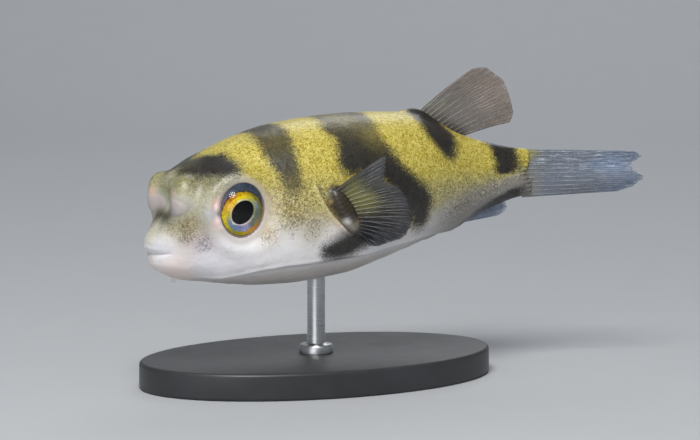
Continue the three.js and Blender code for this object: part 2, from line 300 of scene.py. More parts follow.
# %% Ellipsoids
NASAL_LOBE = {"centre": (3.5, 2.8, 2.5), "radii": (1.72, 1.6, 2.75)}
UPPER_LIP = {"centre": (1.9, 0, -2.05), "radii": (2.2, 2.6, 1.45)}
LOWER_LIP = {"centre": (2.25, 0, -3.95), "radii": (2.15, 2.4, 1.4)}
ORBIT = {"centre": (8.4, 4.3, 1.2), "radii": (3.9, 3.0, 3.8)}
PECTORAL_ROOT_TOP = (18.7, 2.3)
PECTORAL_ROOT_BOTTOM = (21.1, -2.75)
PECTORAL_ROOT_RADIUS = 1.05


def ball_distance(points, form, side=1, tilt=0.0):
    """About how far points are outside an ellipsoid, negative inside, tilted in the side view."""
    centre = np.array(form["centre"]) * (1, side, 1)
    offset = points - centre
    cosine, sine = math.cos(tilt), math.sin(tilt)
    along = offset[:, 0] * cosine + offset[:, 2] * sine
    rise = offset[:, 2] * cosine - offset[:, 0] * sine
    offset = np.stack([along, offset[:, 1], rise], -1)
    radii = np.array(form["radii"])
    near = np.linalg.norm(offset / radii, axis=1)
    return near * (near - 1) / np.maximum(np.linalg.norm(offset / radii**2, axis=1), 1e-9)


def smooth_min(a, b, softness):
    share_mixed = np.maximum(softness - np.abs(a - b), 0) / softness
    return np.minimum(a, b) - share_mixed**2 * softness / 4


def pectoral_root_form():
    (top_s, top_up), (bottom_s, bottom_up) = PECTORAL_ROOT_TOP, PECTORAL_ROOT_BOTTOM
    middle_s = (top_s + bottom_s) / 2
    half_long = math.hypot(top_s - bottom_s, top_up - bottom_up) / 2
    centre = (middle_s, float(half_width_at(middle_s)), (top_up + bottom_up) / 2)
    radii = (PECTORAL_ROOT_RADIUS, PECTORAL_ROOT_RADIUS, half_long)
    return {"centre": centre, "radii": radii}, math.atan2(bottom_s - top_s, top_up - bottom_up)


root_form, root_tilt = pectoral_root_form()
print("root of a pectoral fin, mm long:", round(2 * root_form["radii"][2], 2))

# %% Smooth union
LOBE_VALLEY = {"depth": 0.6, "width": 1.15, "behind": (4.5, 7.0), "foot": (0.5, 2.2), "top": (3.2, 5.6)}
SOFTNESS = {"upper_lip": 0.7, "lower_lip": 0.9, "lips": 0.55, "lobe": 0.85, "orbit": 2.2, "root": 0.9}
FORMS_END = 26.0  # no form reaches farther back
PUSH_STEPS, PUSH_SHARE = 30, 0.8


def form_distance(points, moved):
    """Smooth distance to everything the skin covers; moved is how far a vertex has left the body."""
    upper, lower = ball_distance(points, UPPER_LIP), ball_distance(points, LOWER_LIP)
    with_upper = smooth_min(moved, upper, SOFTNESS["upper_lip"])
    with_lower = smooth_min(moved, lower, SOFTNESS["lower_lip"])
    # Where both are the plain body a smooth minimum would still add height, so its softness fades
    # away from the lips. It never quite reaches 0, because smooth_min divides by it.
    near_lips = 1 - smoothstep(np.minimum(upper, lower), 0.5, 3.0)
    distance = smooth_min(with_upper, with_lower, SOFTNESS["lips"] * near_lips + 1e-6)
    for side in (1, -1):
        distance = smooth_min(distance, ball_distance(points, NASAL_LOBE, side), SOFTNESS["lobe"])
        distance = smooth_min(distance, ball_distance(points, ORBIT, side), SOFTNESS["orbit"])
        distance = smooth_min(distance, ball_distance(points, root_form, side, root_tilt), SOFTNESS["root"])
    return distance


def lobe_valley(points):
    """1 in the valley between the two nasal lobes, which the union alone would leave shallow."""
    s, left, up = points.T
    across = (1 - smoothstep(s, *LOBE_VALLEY["behind"])) * ridge(left, LOBE_VALLEY["width"])
    return across * (smoothstep(up, *LOBE_VALLEY["foot"]) * (1 - smoothstep(up, *LOBE_VALLEY["top"])))


push = np.zeros(len(flesh))
front_half = flesh[:, 0] < FORMS_END
for step in range(PUSH_STEPS):
    reached = flesh[front_half] + outward[front_half] * push[front_half, None]
    push[front_half] -= PUSH_SHARE * form_distance(reached, push[front_half])
push -= LOBE_VALLEY["depth"] * lobe_valley(flesh)
flesh = flesh + outward * push[:, None]
print("farthest push, mm:", round(float(push.max()), 2))

# %% [markdown]
# ## The mouth
# A puffer's mouth is a short slit between two full lips, and it turns up a little at its
# corners. The two lips already meet in a crease, so the slit is only a narrow groove cut along
# that crease, with a faint roll on each side of it, and fades out before the cheek.

# %% Mouth slit
MOUTH_HEIGHT = -3.03
MOUTH_CORNER = 2.9  # half the mouth's width
CORNER_RISE = 0.12
CORNER_FADE = 1.5
SLIT_WIDTH = 0.14
SLIT_DEPTH = 0.14
SLIT_BEHIND = (2.2, 3.2)  # it fades out over this stretch behind the lips
LIP_ROLL = {"height": 0.06, "from_slit": 0.5, "width": 0.3}


def cut_mouth(points, direction):
    left = np.abs(points[:, 1])
    slit = MOUTH_HEIGHT + CORNER_RISE * (left / MOUTH_CORNER) ** 4
    fade = 1 - smoothstep(left, MOUTH_CORNER - CORNER_FADE, MOUTH_CORNER)
    fade = fade * (1 - smoothstep(points[:, 0], *SLIT_BEHIND))
    over = points[:, 2] - slit
    depth = SLIT_DEPTH * ridge(over, SLIT_WIDTH) * fade
    roll = LIP_ROLL["height"] * ridge(np.abs(over) - LIP_ROLL["from_slit"], LIP_ROLL["width"]) * fade
    return points + direction * (roll - depth)[:, None]


flesh = cut_mouth(flesh, outward)
print("mouth, mm wide:", 2 * MOUTH_CORNER)

# %% [markdown]
# ## Nostrils
# Each nasal lobe carries a soft pale pad across its front, with a small pore over it. The pad is
# a low plateau and the pore a dimple, both placed by distance on the skin from a point of it.

# %% Nostril pads
PAD_CENTRE = np.array((2.6, 2.4, 2.1))
PAD_RADII = np.array((1.9, 1.85, 1.08))
PAD_RISE = 0.05
PAD_GROOVE = {"depth": 0.035, "from_centre": 1.1, "width": 0.1}  # round the pad, in its own measure
PORE_CENTRE = np.array((2.2, 2.9, 3.45))
PORE_DEPTH, PORE_RADIUS = 0.16, 0.2


def mirrored(points):
    """The same points with both sides of the fish folded onto its left."""
    return points * (1, 0, 1) + np.abs(points) * (0, 1, 0)


def pad_reach(points):
    """1 on the edge of a nostril pad, less inside it."""
    return np.linalg.norm((mirrored(points) - PAD_CENTRE) / PAD_RADII, axis=1)


def shape_nostrils(points, direction):
    pad = pad_reach(points)
    pore = np.linalg.norm(mirrored(points) - PORE_CENTRE, axis=1)
    groove = PAD_GROOVE["depth"] * ridge(pad - PAD_GROOVE["from_centre"], PAD_GROOVE["width"])
    raised = PAD_RISE * (1 - smoothstep(pad, 0.8, 1.05)) - groove
    raised = raised - PORE_DEPTH * ridge(pore, PORE_RADIUS)
    return points + direction * raised[:, None]


flesh = shape_nostrils(flesh, outward)
print("skin vertices on the nostril pads:", int((pad_reach(flesh) < 1).sum()))

# %% [markdown]
# ## Eye sockets and lids
# A puffer's eye sits under a thin round fold of skin. Cutting a hole in the skin and bridging it
# to a ring would do it, but here the skin stays whole: near the rim its vertices are drawn onto
# the rim's own oval, so the edge is clean, and inside it they drop into a bowl behind the eye.
# The rim is a leaning oval, taller than the iris behind it, and leaves a dark crescent on top.
# The short folds of skin round the rim are drawn last, because the bowl would flatten them.

# %% Sockets
EYE_CENTRE = (8.4, 5.0, 1.2)
RIM_CENTRE = (8.35, 1.27)
RIM_RADII = (2.56, 3.02)
RIM_LEAN = math.radians(14)
RIM_LEFT = 6.3  # how far out the rim stands
RIM_SPLAY = 0.12  # more so towards the tail
SOCKET_DEPTH = 2.1
SNAP = 0.45  # vertices this near the rim are drawn to it
LID_SWELL = 0.07
EYE_SIDE = 2.6  # how far out the side of the head begins that holds the eye
EYE_REGION_END = 13.0  # and how far back it reaches
# Folds round the rim: turn round the eye, spread, distance out as a share of the rim, height.
LID_FOLDS = [(2.86, 0.24, 1.13, 0.2), (-2.8, 0.24, 1.13, 0.22), (1.9, 0.4, 1.2, 0.07)]
FOLD_WIDTH = 0.085


def rim_place(s, up):
    """Distance from the rim in its own oval measure, with the offsets from its centre."""
    ahead, above = s - RIM_CENTRE[0], up - RIM_CENTRE[1]
    cosine, sine = math.cos(RIM_LEAN), math.sin(RIM_LEAN)
    across = (ahead * cosine - above * sine) / RIM_RADII[0]
    along = (ahead * sine + above * cosine) / RIM_RADII[1]
    return np.hypot(across, along), ahead, above


def lid_height(gap):
    """The lid's profile over the distance outside the rim's edge."""
    roll = LID_SWELL * ridge(gap - 0.28, 0.24) - 0.03 * ridge(gap - 0.85, 0.28)
    return roll - SOCKET_DEPTH * smoothstep(-gap, 0, 0.5)


def open_sockets(points):
    s, left, up = points.T.copy()
    ring, ahead, above = rim_place(s, up)
    size = sum(RIM_RADII) / 2
    near = (np.abs(left) > EYE_SIDE) & (ring < 2)
    gap = (ring - 1) * size
    snapped = np.where(np.abs(gap) < SNAP, np.sign(gap) * gap**2 / SNAP, gap)
    grow = np.where(ring > 1e-6, (1 + snapped / size) / np.maximum(ring, 1e-6), 1)
    s = np.where(near, RIM_CENTRE[0] + ahead * grow, s)
    up = np.where(near, RIM_CENTRE[1] + above * grow, up)
    rim = RIM_LEFT + RIM_SPLAY * (s - RIM_CENTRE[0]) - 0.04 * (up - RIM_CENTRE[1])
    blend = smoothstep(1 + snapped / size, 1, 1.85)
    shaped = rim + (np.abs(left) - rim) * blend + lid_height(snapped)
    left = np.where(near, np.sign(left) * shaped, left)
    return np.stack([s, left, up], -1)


def wrinkle_lids(points, direction):
    """Two short soft folds in front of each eye and one over it."""
    folded = mirrored(points)
    ring, ahead, above = rim_place(folded[:, 0], folded[:, 2])
    turn = np.arctan2(above, ahead)
    raised = np.zeros(len(points))
    for centre, spread, out, height in LID_FOLDS:
        around = np.angle(np.exp(1j * (turn - centre)))
        raised += height * ridge(around, spread) * ridge(ring - out, FOLD_WIDTH)
    raised = np.where(folded[:, 1] > EYE_SIDE, raised, 0)
    return points + direction * raised[:, None]


flesh = wrinkle_lids(open_sockets(flesh), outward)
print("socket opening, mm:", [round(2 * radius, 2) for radius in RIM_RADII])

# %% [markdown]
# ## Gills, folds and the roots of the fins
# The gill opening is one short slit just before the pectoral fin, with a thin flap over it. A low
# fold of skin runs along each side of the belly as a keel: a shelf with a sharper edge. The dorsal
# and anal fins rise from fleshy humps, and the flesh of the tail ends in soft scallops over the
# fin rays. Each is a rounded ridge or groove along a line, which is all that such low relief needs.

# %% Gill slits and measures of the trunk
GILL_TOP = (17.2, 2.7)
GILL_BOTTOM = (20.3, -2.6)
GILL_BOW = 0.5
GILL_DEPTH, GILL_FLAP = 0.6, 0.2
KEEL = smooth_through([  # along, degrees down from the back
    (4.0, 155), (7.6, 140), (10.3, 132), (13.4, 128.5), (17, 127.5), (22, 128), (31, 136), (38, 156),
    (42, 165),
])
KEEL_SHELF, KEEL_EDGE, KEEL_GROOVE = 0.32, 0.12, 0.1
DORSAL_HUMP = {"start": 31.3, "full": 34.8, "end": 39.6, "height": 0.85, "width": 0.7}
ANAL_HUMP = {"start": 33.2, "full": 34.4, "end": 38.4, "height": 0.5, "width": 0.6}
TAIL_RAYS = 11
TAIL_HEIGHT = 5.4  # of the scalloped edge


def degrees_from_back(points):
    """0 on the middle of the back, 90 on the side, 180 on the middle of the belly."""
    middle = (back_at(points[:, 0]) + belly_at(points[:, 0])) / 2
    return np.degrees(np.arctan2(np.abs(points[:, 1]), points[:, 2] - middle))


def hump(s, form):
    rise = form["height"] * smoothstep(s, form["start"], form["full"])
    return rise * (1 - smoothstep(s, form["full"], form["end"]))


STRIA_PITCH = 0.5  # of the fine ridges on a pectoral fin's root


def down_root(points):
    """How far down the pectoral fin's root a point is."""
    behind, below = points[:, 0] - PECTORAL_ROOT_TOP[0], PECTORAL_ROOT_TOP[1] - points[:, 2]
    return behind * math.sin(root_tilt) + below * math.cos(root_tilt)


def root_middle(up):
    """Where the root's middle line is along the fish, at a height."""
    share_down = (PECTORAL_ROOT_TOP[1] - up) / (PECTORAL_ROOT_TOP[1] - PECTORAL_ROOT_BOTTOM[1])
    return PECTORAL_ROOT_TOP[0] + (PECTORAL_ROOT_BOTTOM[0] - PECTORAL_ROOT_TOP[0]) * share_down


def gill_line(points):
    """How far behind the gill slit a point is, and how much of the slit there is at its height."""
    s, left, up = points.T
    share_down = np.clip((GILL_TOP[1] - up) / (GILL_TOP[1] - GILL_BOTTOM[1]), -0.3, 1.3)
    slit = GILL_TOP[0] + (GILL_BOTTOM[0] - GILL_TOP[0]) * share_down - GILL_BOW * np.sin(math.pi * share_down)
    reach = smoothstep(share_down, -0.12, 0.08) * (1 - smoothstep(share_down, 0.92, 1.12))
    return s - slit, reach * (np.abs(left) > 4)


print("gill slits, mm long:", round(math.dist(GILL_TOP, GILL_BOTTOM), 1))


# %% Keels, humps and striae
def shape_trunk(points, direction, lean):
    """Adds all the low relief; lean is each point's degrees from the back."""
    s, left, up = points.T
    behind_slit, reach = gill_line(points)
    raised = reach * (GILL_FLAP * ridge(behind_slit + 0.45, 0.36) - GILL_DEPTH * ridge(behind_slit, 0.18))
    girth = np.radians(lean - KEEL(s)) * np.hypot(left, up + 1)
    fade = smoothstep(s, 3.5, 7) * (1 - smoothstep(s, 36, 41))
    shelf = np.where(girth < 0, ridge(girth, 1.6), ridge(girth, 0.45))
    keel = KEEL_SHELF * shelf + KEEL_EDGE * ridge(girth, 0.25) - KEEL_GROOVE * ridge(girth - 0.6, 0.3)
    raised += fade * keel
    near_root = 1 - smoothstep(ball_distance(mirrored(points), root_form, 1, root_tilt), 0.1, 0.9)
    striae = 0.05 * np.cos(2 * math.pi * down_root(points) / STRIA_PITCH)
    raised += near_root * (striae - 0.12 * ridge(s - root_middle(up) - 0.1, 0.35))
    points = points + direction * raised[:, None]
    points[:, 2] += hump(s, DORSAL_HUMP) * ridge(left, DORSAL_HUMP["width"]) * (up > 0)
    points[:, 2] -= hump(s, ANAL_HUMP) * ridge(left, ANAL_HUMP["width"]) * (up < 0)
    scallop = 0.12 * np.cos(2 * math.pi * TAIL_RAYS * up / TAIL_HEIGHT) - 0.5 * ridge(up - 0.2, 0.9)
    points[:, 0] += scallop * smoothstep(s, 45.6, FLESH_END)
    return points


around_back = degrees_from_back(flesh)
flesh = shape_trunk(flesh, outward, around_back)
print("width with the folds, mm:", round(float(np.ptp(flesh[:, 1])), 2))

# %% [markdown]
# ## Small unevenness
# Living skin is never quite even. A little noise, a few hundredths of a millimetre high, keeps
# the highlights from sliding over the model as over plastic.

# %% Skin noise
NOISE_HEIGHT = 0.035
NOISE_SIZE = 1.3


def uneven(points, direction):
    grain = [noise.fractal(Vector(point) / NOISE_SIZE, 1.0, 2.0, 3) for point in points.tolist()]
    at_rim = ridge(rim_place(points[:, 0], points[:, 2])[0] - 1, 0.25) * (points[:, 0] < EYE_REGION_END)
    calm = 1 - 0.8 * at_rim
    return points + direction * (NOISE_HEIGHT * calm * np.array(grain))[:, None]


flesh = uneven(flesh, outward)
skin_mesh.vertices.foreach_set("co", to_world(*flesh.T).ravel())
skin_mesh.update()
print("skin box, mm:", (np.ptp(to_world(*flesh.T), axis=0) / MM).round(2))

# %% [markdown]
# ## Chin flaps, and finishing the mesh
# A pair of tiny flaps of skin hangs under the chin. Each is a small cone from `create_cone`,
# flattened and set into the skin, and joins the skin's own mesh to share its finish. Then the
# normals are recalculated, since laying the sphere over the fish may have turned it inside out.

# %% Chin flaps
SIDES = {"left": 1, "right": -1}
FLAP_PLACE = (2.6, 0.32, -6.0)  # along, to each side, up
FLAP_RADII = (0.3, 0.13)
FLAP_LENGTH = 1.1
FLAP_FLATNESS = 0.55


def add_flap(bm, place):
    made = bmesh.ops.create_cone(
        bm, cap_ends=True, segments=12, radius1=FLAP_RADII[0] * MM, radius2=FLAP_RADII[1] * MM,
        depth=FLAP_LENGTH * MM,
    )
    bmesh.ops.scale(bm, vec=(FLAP_FLATNESS, 1, 1), verts=made["verts"])
    bmesh.ops.rotate(bm, cent=(0, 0, 0), matrix=Matrix.Rotation(math.pi, 3, "X"), verts=made["verts"])
    bmesh.ops.translate(bm, vec=Vector(place), verts=made["verts"])


def new_object(name, mesh, replaces=()):
    """Puts a mesh into the scene as a smooth piece that rides on the fish's one body."""
    thing = bpy.data.objects.new(name, mesh)
    bpy.context.scene.collection.objects.link(thing)
    mesh.polygons.foreach_set("use_smooth", [True] * len(mesh.polygons))
    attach(thing, "root")
    if replaces:
        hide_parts(*replaces)
    return thing


bm = bmesh.new()
bm.from_mesh(skin_mesh)
for side in (-1, 1):
    add_flap(bm, to_world(FLAP_PLACE[0], FLAP_PLACE[1] * side, FLAP_PLACE[2]))
bmesh.ops.recalc_face_normals(bm, faces=bm.faces)
bm.to_mesh(skin_mesh)
bm.free()
flesh_nodes = ["head", "trunk", "tail_stalk", "upper_lip", "lower_lip"]
flesh_nodes += [f"{part}_{side}" for part in ("nasal_lobe", "pectoral_base") for side in SIDES]
skin = new_object("skin", skin_mesh, replaces=flesh_nodes)
print("skin triangles:", sum(len(face.vertices) - 2 for face in skin_mesh.polygons))

# %% [markdown]
# ## Helpers for materials
# Every finish is a small network of nodes. `node` makes one node, sets its properties and fills
# its sockets, each with a number or with a wire from another node, so that a material reads like
# a recipe. Colours are chosen as screen values of 0 to 255, and `screen` turns them into
# the linear values that the shader expects.


# %% Material helpers
def screen(red, green, blue):
    """Linear colour of a screen colour."""
    parts = [value / 255 for value in (red, green, blue)]
    linear = [part / 12.92 if part <= 0.04045 else ((part + 0.055) / 1.055) ** 2.4 for part in parts]
    return (*linear, 1.0)


def fill(tree, socket, value):
    """Wires a socket to another node's output, or sets it to a plain value."""
    if isinstance(value, bpy.types.NodeSocket):
        tree.links.new(value, socket)
    else:
        socket.default_value = value


def node(tree, kind, sockets=None, **settings):
    made = tree.nodes.new("ShaderNode" + kind)
    for name, value in settings.items():
        setattr(made, name, value)
    for name, value in (sockets or {}).items():
        fill(tree, made.inputs[name], value)
    return made


def new_material(name):
    material = bpy.data.materials.new(name)
    material.use_nodes = True
    tree = material.node_tree
    tree.nodes.clear()
    output = tree.nodes.new("ShaderNodeOutputMaterial")
    return material, tree, output


def millimetres(tree):
    """Object coordinates in millimetres."""
    coordinates = node(tree, "TexCoord").outputs["Object"]
    return node(tree, "Mapping", {"Vector": coordinates, "Scale": (1 / MM,) * 3}).outputs["Vector"]


def math_node(tree, operation, first, second=0.5):
    made = node(tree, "Math", operation=operation)
    fill(tree, made.inputs[0], first)
    fill(tree, made.inputs[1], second)
    return made.outputs[0]


def centred(tree, value, amount):
    """A 0 to 1 value as a swing about 0."""
    return math_node(tree, "MULTIPLY", math_node(tree, "SUBTRACT", value, 0.5), amount)


def between(tree, value, low, high, out_low=0.0, out_high=1.0, kind="SMOOTHSTEP"):
    """Maps a value's range from low to high onto the out range, and holds it outside."""
    sockets = {"Value": value, "From Min": low, "From Max": high, "To Min": out_low, "To Max": out_high}
    return node(tree, "MapRange", sockets, interpolation_type=kind).outputs["Result"]


def mixed(tree, factor, first, second, blend="MIX"):
    made = node(tree, "Mix", data_type="RGBA", blend_type=blend, clamp_factor=True)
    fill(tree, made.inputs[0], factor)
    fill(tree, made.inputs[6], first)
    fill(tree, made.inputs[7], second)
    return made.outputs[2]


def grain_of(tree, vector, size, detail=2.0, roughness=0.55, distortion=0.0):
    """Noise with blobs about as large as size, in the vector's own unit."""
    sockets = {"Vector": vector, "Scale": 1 / size, "Detail": detail, "Roughness": roughness}
    sockets["Distortion"] = distortion
    return node(tree, "TexNoise", sockets).outputs["Fac"]


def named_value(tree, name, output="Fac"):
    return node(tree, "Attribute", attribute_name=name).outputs[output]


def bumped(tree, height, distance, strength=1.0):
    sockets = {"Height": height, "Distance": distance * MM, "Strength": strength}
    return node(tree, "Bump", sockets).outputs["Normal"]


print("white in linear values:", tuple(round(value, 2) for value in screen(255, 255, 255)))

# %% [markdown]
# ## Where the colours lie
# The markings could be painted by hand on a texture, but then they would belong to one unwrapped
# mesh. Here each is a shape on the fish itself: a bar is a closed outline in two measures, how
# far behind the lips and how many degrees down from the back, and both sides share it. The
# signed depth into an outline, in millimetres, goes onto the mesh as an attribute, and the
# shader breaks its edge into grains.

# %% Bars
DEGREE_MM = 0.12  # a degree round the body, about
BARS = {
    "brow": [
        (4.6, -12), (3.9, 4), (3.5, 13), (4.2, 24), (5.2, 36), (6.7, 47.5), (7.8, 50), (8.9, 46),
        (9.1, 31), (8.6, 18), (7.2, 8), (6.0, 0), (5.8, -12),
    ],
    "shoulder": [
        (13.4, -14), (12.7, 8), (12.3, 25), (12.3, 44), (12.9, 58), (13.3, 70), (14.2, 76), (15.2, 71),
        (15.3, 60), (15.6, 46), (16.1, 28), (16.4, 12), (16.7, -14),
    ],
    "saddle": [
        (21.2, -14), (20.9, 8), (20.3, 29), (20.8, 39), (20.2, 52), (20.2, 64), (21.4, 70), (24.5, 76),
        (26.6, 88), (28.2, 106), (29.2, 122), (30.6, 127), (31.8, 121), (32.3, 104), (31.7, 89), (30.2, 81),
        (28.5, 68), (27.4, 55), (27.0, 44), (26.7, 31), (27.1, 12), (27.4, -14),
    ],
    "dorsal": [
        (32.4, -14), (32.7, 12), (33.0, 29), (33.4, 44), (34.4, 56), (35.5, 63), (36.3, 63.5), (37.0, 57),
        (37.6, 46), (37.9, 26), (37.4, 8), (37.0, -14),
    ],
    "peduncle": [
        (41.9, -14), (42.1, 12), (42.5, 30), (42.8, 54), (42.4, 74), (43.2, 86), (44.5, 88), (45.4, 76),
        (45.9, 55), (46.0, 30), (46.0, -14),
    ],
    "under_tail": [
        (35.6, 168), (38.0, 152), (41.0, 147), (43.4, 145), (45.0, 147), (45.8, 152), (45.9, 168),
        (44.0, 176), (37, 178),
    ],
    "armpit": [
        (17.2, 120), (18.4, 115.5), (19.9, 112), (21.6, 108), (23.4, 107), (23.7, 112), (22.6, 119),
        (20.8, 125), (18.9, 126.5), (17.4, 124),
    ],
}
BAR_GROWTH = {"under_tail": 0.45, "armpit": 0.4}  # narrow bars keep their full black
FAR_OUTSIDE = 50.0


def depth_inside(outline, s, turn):
    """Signed distance in millimetres into a closed outline of (along, degrees) corners."""
    corners = np.array(outline, float) * (1, DEGREE_MM)
    x, y = s, turn * DEGREE_MM
    nearest = np.full(len(x), 1e9)
    inside = np.zeros(len(x), bool)
    for (ax, ay), (bx, by) in zip(corners, np.roll(corners, -1, axis=0)):
        length_squared = (bx - ax) ** 2 + (by - ay) ** 2
        t = np.clip(((x - ax) * (bx - ax) + (y - ay) * (by - ay)) / length_squared, 0, 1)
        nearest = np.minimum(nearest, np.hypot(x - ax - t * (bx - ax), y - ay - t * (by - ay)))
        crosses = (ay > y) != (by > y)
        inside ^= crosses & (x < ax + (y - ay) * (bx - ax) / np.where(by == ay, 1e-9, by - ay))
    return np.where(inside, nearest, -nearest)


def set_attribute(mesh, name, values, kind="FLOAT"):
    """Keeps one value for each vertex on the mesh, for a material to read."""
    layer = mesh.attributes.new(name, kind, "POINT")
    key = {"FLOAT": "value", "FLOAT_COLOR": "color", "FLOAT_VECTOR": "vector"}[kind]
    layer.data.foreach_set(key, np.ascontiguousarray(values, np.float32).ravel())


paint_s, paint_turn = flesh[:, 0], around_back
bar_depth = np.full(len(flesh), -FAR_OUTSIDE)
for bar_name, outline in BARS.items():
    depth = depth_inside(outline, paint_s, paint_turn) + BAR_GROWTH.get(bar_name, 0)
    bar_depth = np.maximum(bar_depth, depth)
print("share of the skin under bars:", round(float((bar_depth > 0).mean()), 3))

# %% [markdown]
# ## Ground colours
# Under the bars lies a smooth ground: lemon yellow along the back, olive and then white down the
# flank, and a pale pinkish face. It is built like a painter's underlayer, from large areas to
# small dabs, each with a soft edge, and is kept on the mesh as one colour attribute. A second
# result says where the skin's worm-like grain lies over it.

# %% Ground
LEMON = screen(182, 164, 30)
OLIVE_YELLOW = screen(150, 139, 76)
WHITE = screen(234, 232, 234)
BELLY = screen(226, 219, 214)
FACE = screen(200, 198, 184)
BEIGE = screen(186, 170, 132)
# darker grey at the end of the tail stalk, and painted shade on the rear of the lower flank
TAIL_END_GREY_AND_FLANK_SHADE = screen(116, 113, 105)
EYE_RING = screen(186, 174, 166)
LOBE_GREY = screen(186, 184, 172)
PAD_EDGE = screen(160, 152, 150)
PAD_PINK = screen(184, 174, 173)
ROOT_BROWN = screen(32, 24, 20)
# painted highlight along the gill flap's edge
GILL_FLAP_HIGHLIGHT = screen(212, 196, 160)
# painted shade in the gill slit
GILL_SLIT_SHADE = screen(66, 50, 38)
YELLOW_FRONT = smooth_through([  # degrees from the back, along
    (-20, 5.4), (20, 7.0), (45, 8.6), (60, 10.2), (75, 11.4), (95, 12.3), (180, 13.0),
])
YELLOW_LOW = smooth_through([  # along, degrees from the back
    (0, 70), (9, 82), (12, 88), (16, 92), (24, 106), (30, 114), (33, 115), (36, 110), (40, 106), (43, 106),
    (46, 92),
])
print("lowest yellow, degrees from the back:", round(float(YELLOW_LOW(33.0)), 1))

# %% Dabs
# Soft dabs on the head: along, to the side, up, radius, colour, strength.
DABS = [
    (4.6, 1.4, 5.6, 2.6, screen(88, 88, 62), 0.95),  # greenish brow between the eyes
    (4.2, 3.6, 4.9, 2.0, screen(86, 86, 62), 0.95),  # and its sides
    (6.4, 5.2, 4.6, 1.7, screen(92, 92, 74), 0.95),
    (4.9, 5.1, 2.6, 1.8, screen(160, 161, 148), 0.9),
    (3.7, 4.8, 0.7, 1.6, screen(160, 157, 146), 0.9),
    (2.9, 4.1, -0.6, 2.0, screen(134, 118, 84), 0.95),  # brown speckled snout
    (1.6, 1.6, -0.2, 1.3, screen(138, 134, 120), 0.85),
    (2.3, 0.6, 3.4, 1.3, screen(110, 112, 78), 0.9),  # greenish valley over it
    (2.6, 3.1, 4.8, 1.3, screen(118, 120, 84), 0.9),  # top of the lobe
    (3.9, 5.1, -2.0, 1.6, screen(186, 174, 186), 0.85),  # lavender cheek
    (5.0, 5.6, 1.2, 1.1, screen(182, 188, 198), 0.8),  # bluish grey before the eye
    (11.9, 6.8, 1.6, 1.4, screen(184, 168, 146), 0.85),  # pinkish skin behind the eye
    (11.1, 6.6, -1.4, 1.3, screen(190, 172, 140), 0.85),
    (2.4, 1.8, -4.6, 2.0, screen(246, 222, 210), 0.75),  # pink chin
    (1.0, 1.4, -1.9, 1.4, screen(214, 214, 226), 0.9),  # bluish white upper lip
    (5.4, 4.6, -4.2, 2.0, screen(250, 248, 254), 0.8),
    (15.6, 8.4, -2.0, 1.6, screen(176, 170, 150), 0.75),  # greyish speckled cheek before the gill
    (5.2, 4.8, 4.6, 1.3, screen(92, 92, 74), 0.8),  # olive temple
    (14.4, 8.3, 0.6, 1.8, screen(134, 118, 70), 0.6),  # brownish end of the second yellow band
]
# Round the pectoral fin's root, in the same measures.
ROOT_DABS = [
    # painted highlights: these two golden glints at the gill's top
    (17.75, 8.6, 1.9, 0.3, screen(255, 236, 190), 1.0),  # golden glints at the gill's top
    (17.95, 8.6, 1.1, 0.24, screen(250, 214, 140), 0.95),
    (19.55, 9.1, -1.3, 0.42, screen(252, 250, 248), 0.95),  # white foot of the root
    (19.5, 9.0, -2.3, 0.75, screen(206, 194, 186), 0.8),
]
# Last of all, small marks of the face, in the same measures. On the folds before the eye the
# white dabs are painted highlights and the dark one between them is painted shade.
TOP_DABS = [
    (1.9, 0.3, 1.0, 0.95, screen(44, 47, 38), 1.0),  # olive patch between the lobes
    (1.95, 1.2, 0.75, 0.9, screen(48, 50, 40), 0.95),
    (2.2, 2.2, -0.1, 0.7, screen(96, 92, 72), 0.6),
    (2.2, 2.3, 3.4, 0.6, screen(216, 176, 152), 0.7),  # blush round the pore
    (2.2, 2.9, 3.5, 0.2, screen(176, 116, 92), 0.7),
    (5.5, 5.9, 2.3, 0.6, screen(216, 160, 160), 0.8),  # pink folds before the eye
    (5.5, 5.95, 0.3, 0.65, screen(226, 176, 174), 0.8),
    # painted highlights of the wet folds: this white dab and the last two
    (5.5, 5.9, 2.0, 0.36, screen(255, 232, 230), 1.0),
    # painted shade in the crease between the two folds
    (5.55, 6.0, 1.2, 0.24, screen(130, 84, 88), 0.85),
    (5.5, 6.0, 0.45, 0.34, screen(255, 240, 240), 1.0),
    (5.7, 6.0, -0.15, 0.34, screen(255, 244, 244), 1.0),
]
LOBE_PATCH = ((2.1, 0.8, 0.7), 1.5)  # the dark patch between the lobes, where all grain stops
EYE_FOLDS = (5.5, 5.95, 1.0)  # the middle of the pale folds before the eye
print("dabs:", len(DABS) + len(ROOT_DABS) + len(TOP_DABS))


# %% Laying the ground
def laid_over(under, over, amount):
    amount = np.clip(amount, 0, 1)[:, None]
    return under * (1 - amount) + np.array(over) * amount


def spot(folded, centre, radius):
    """1 at a place on the skin, falling away over a radius."""
    return ridge(np.linalg.norm(folded - centre, axis=1), radius)


def dabbed(colour, folded, dabs):
    for along, side, up, radius, dab, strength in dabs:
        colour = laid_over(colour, dab, strength * spot(folded, (along, side, up), radius))
    return colour


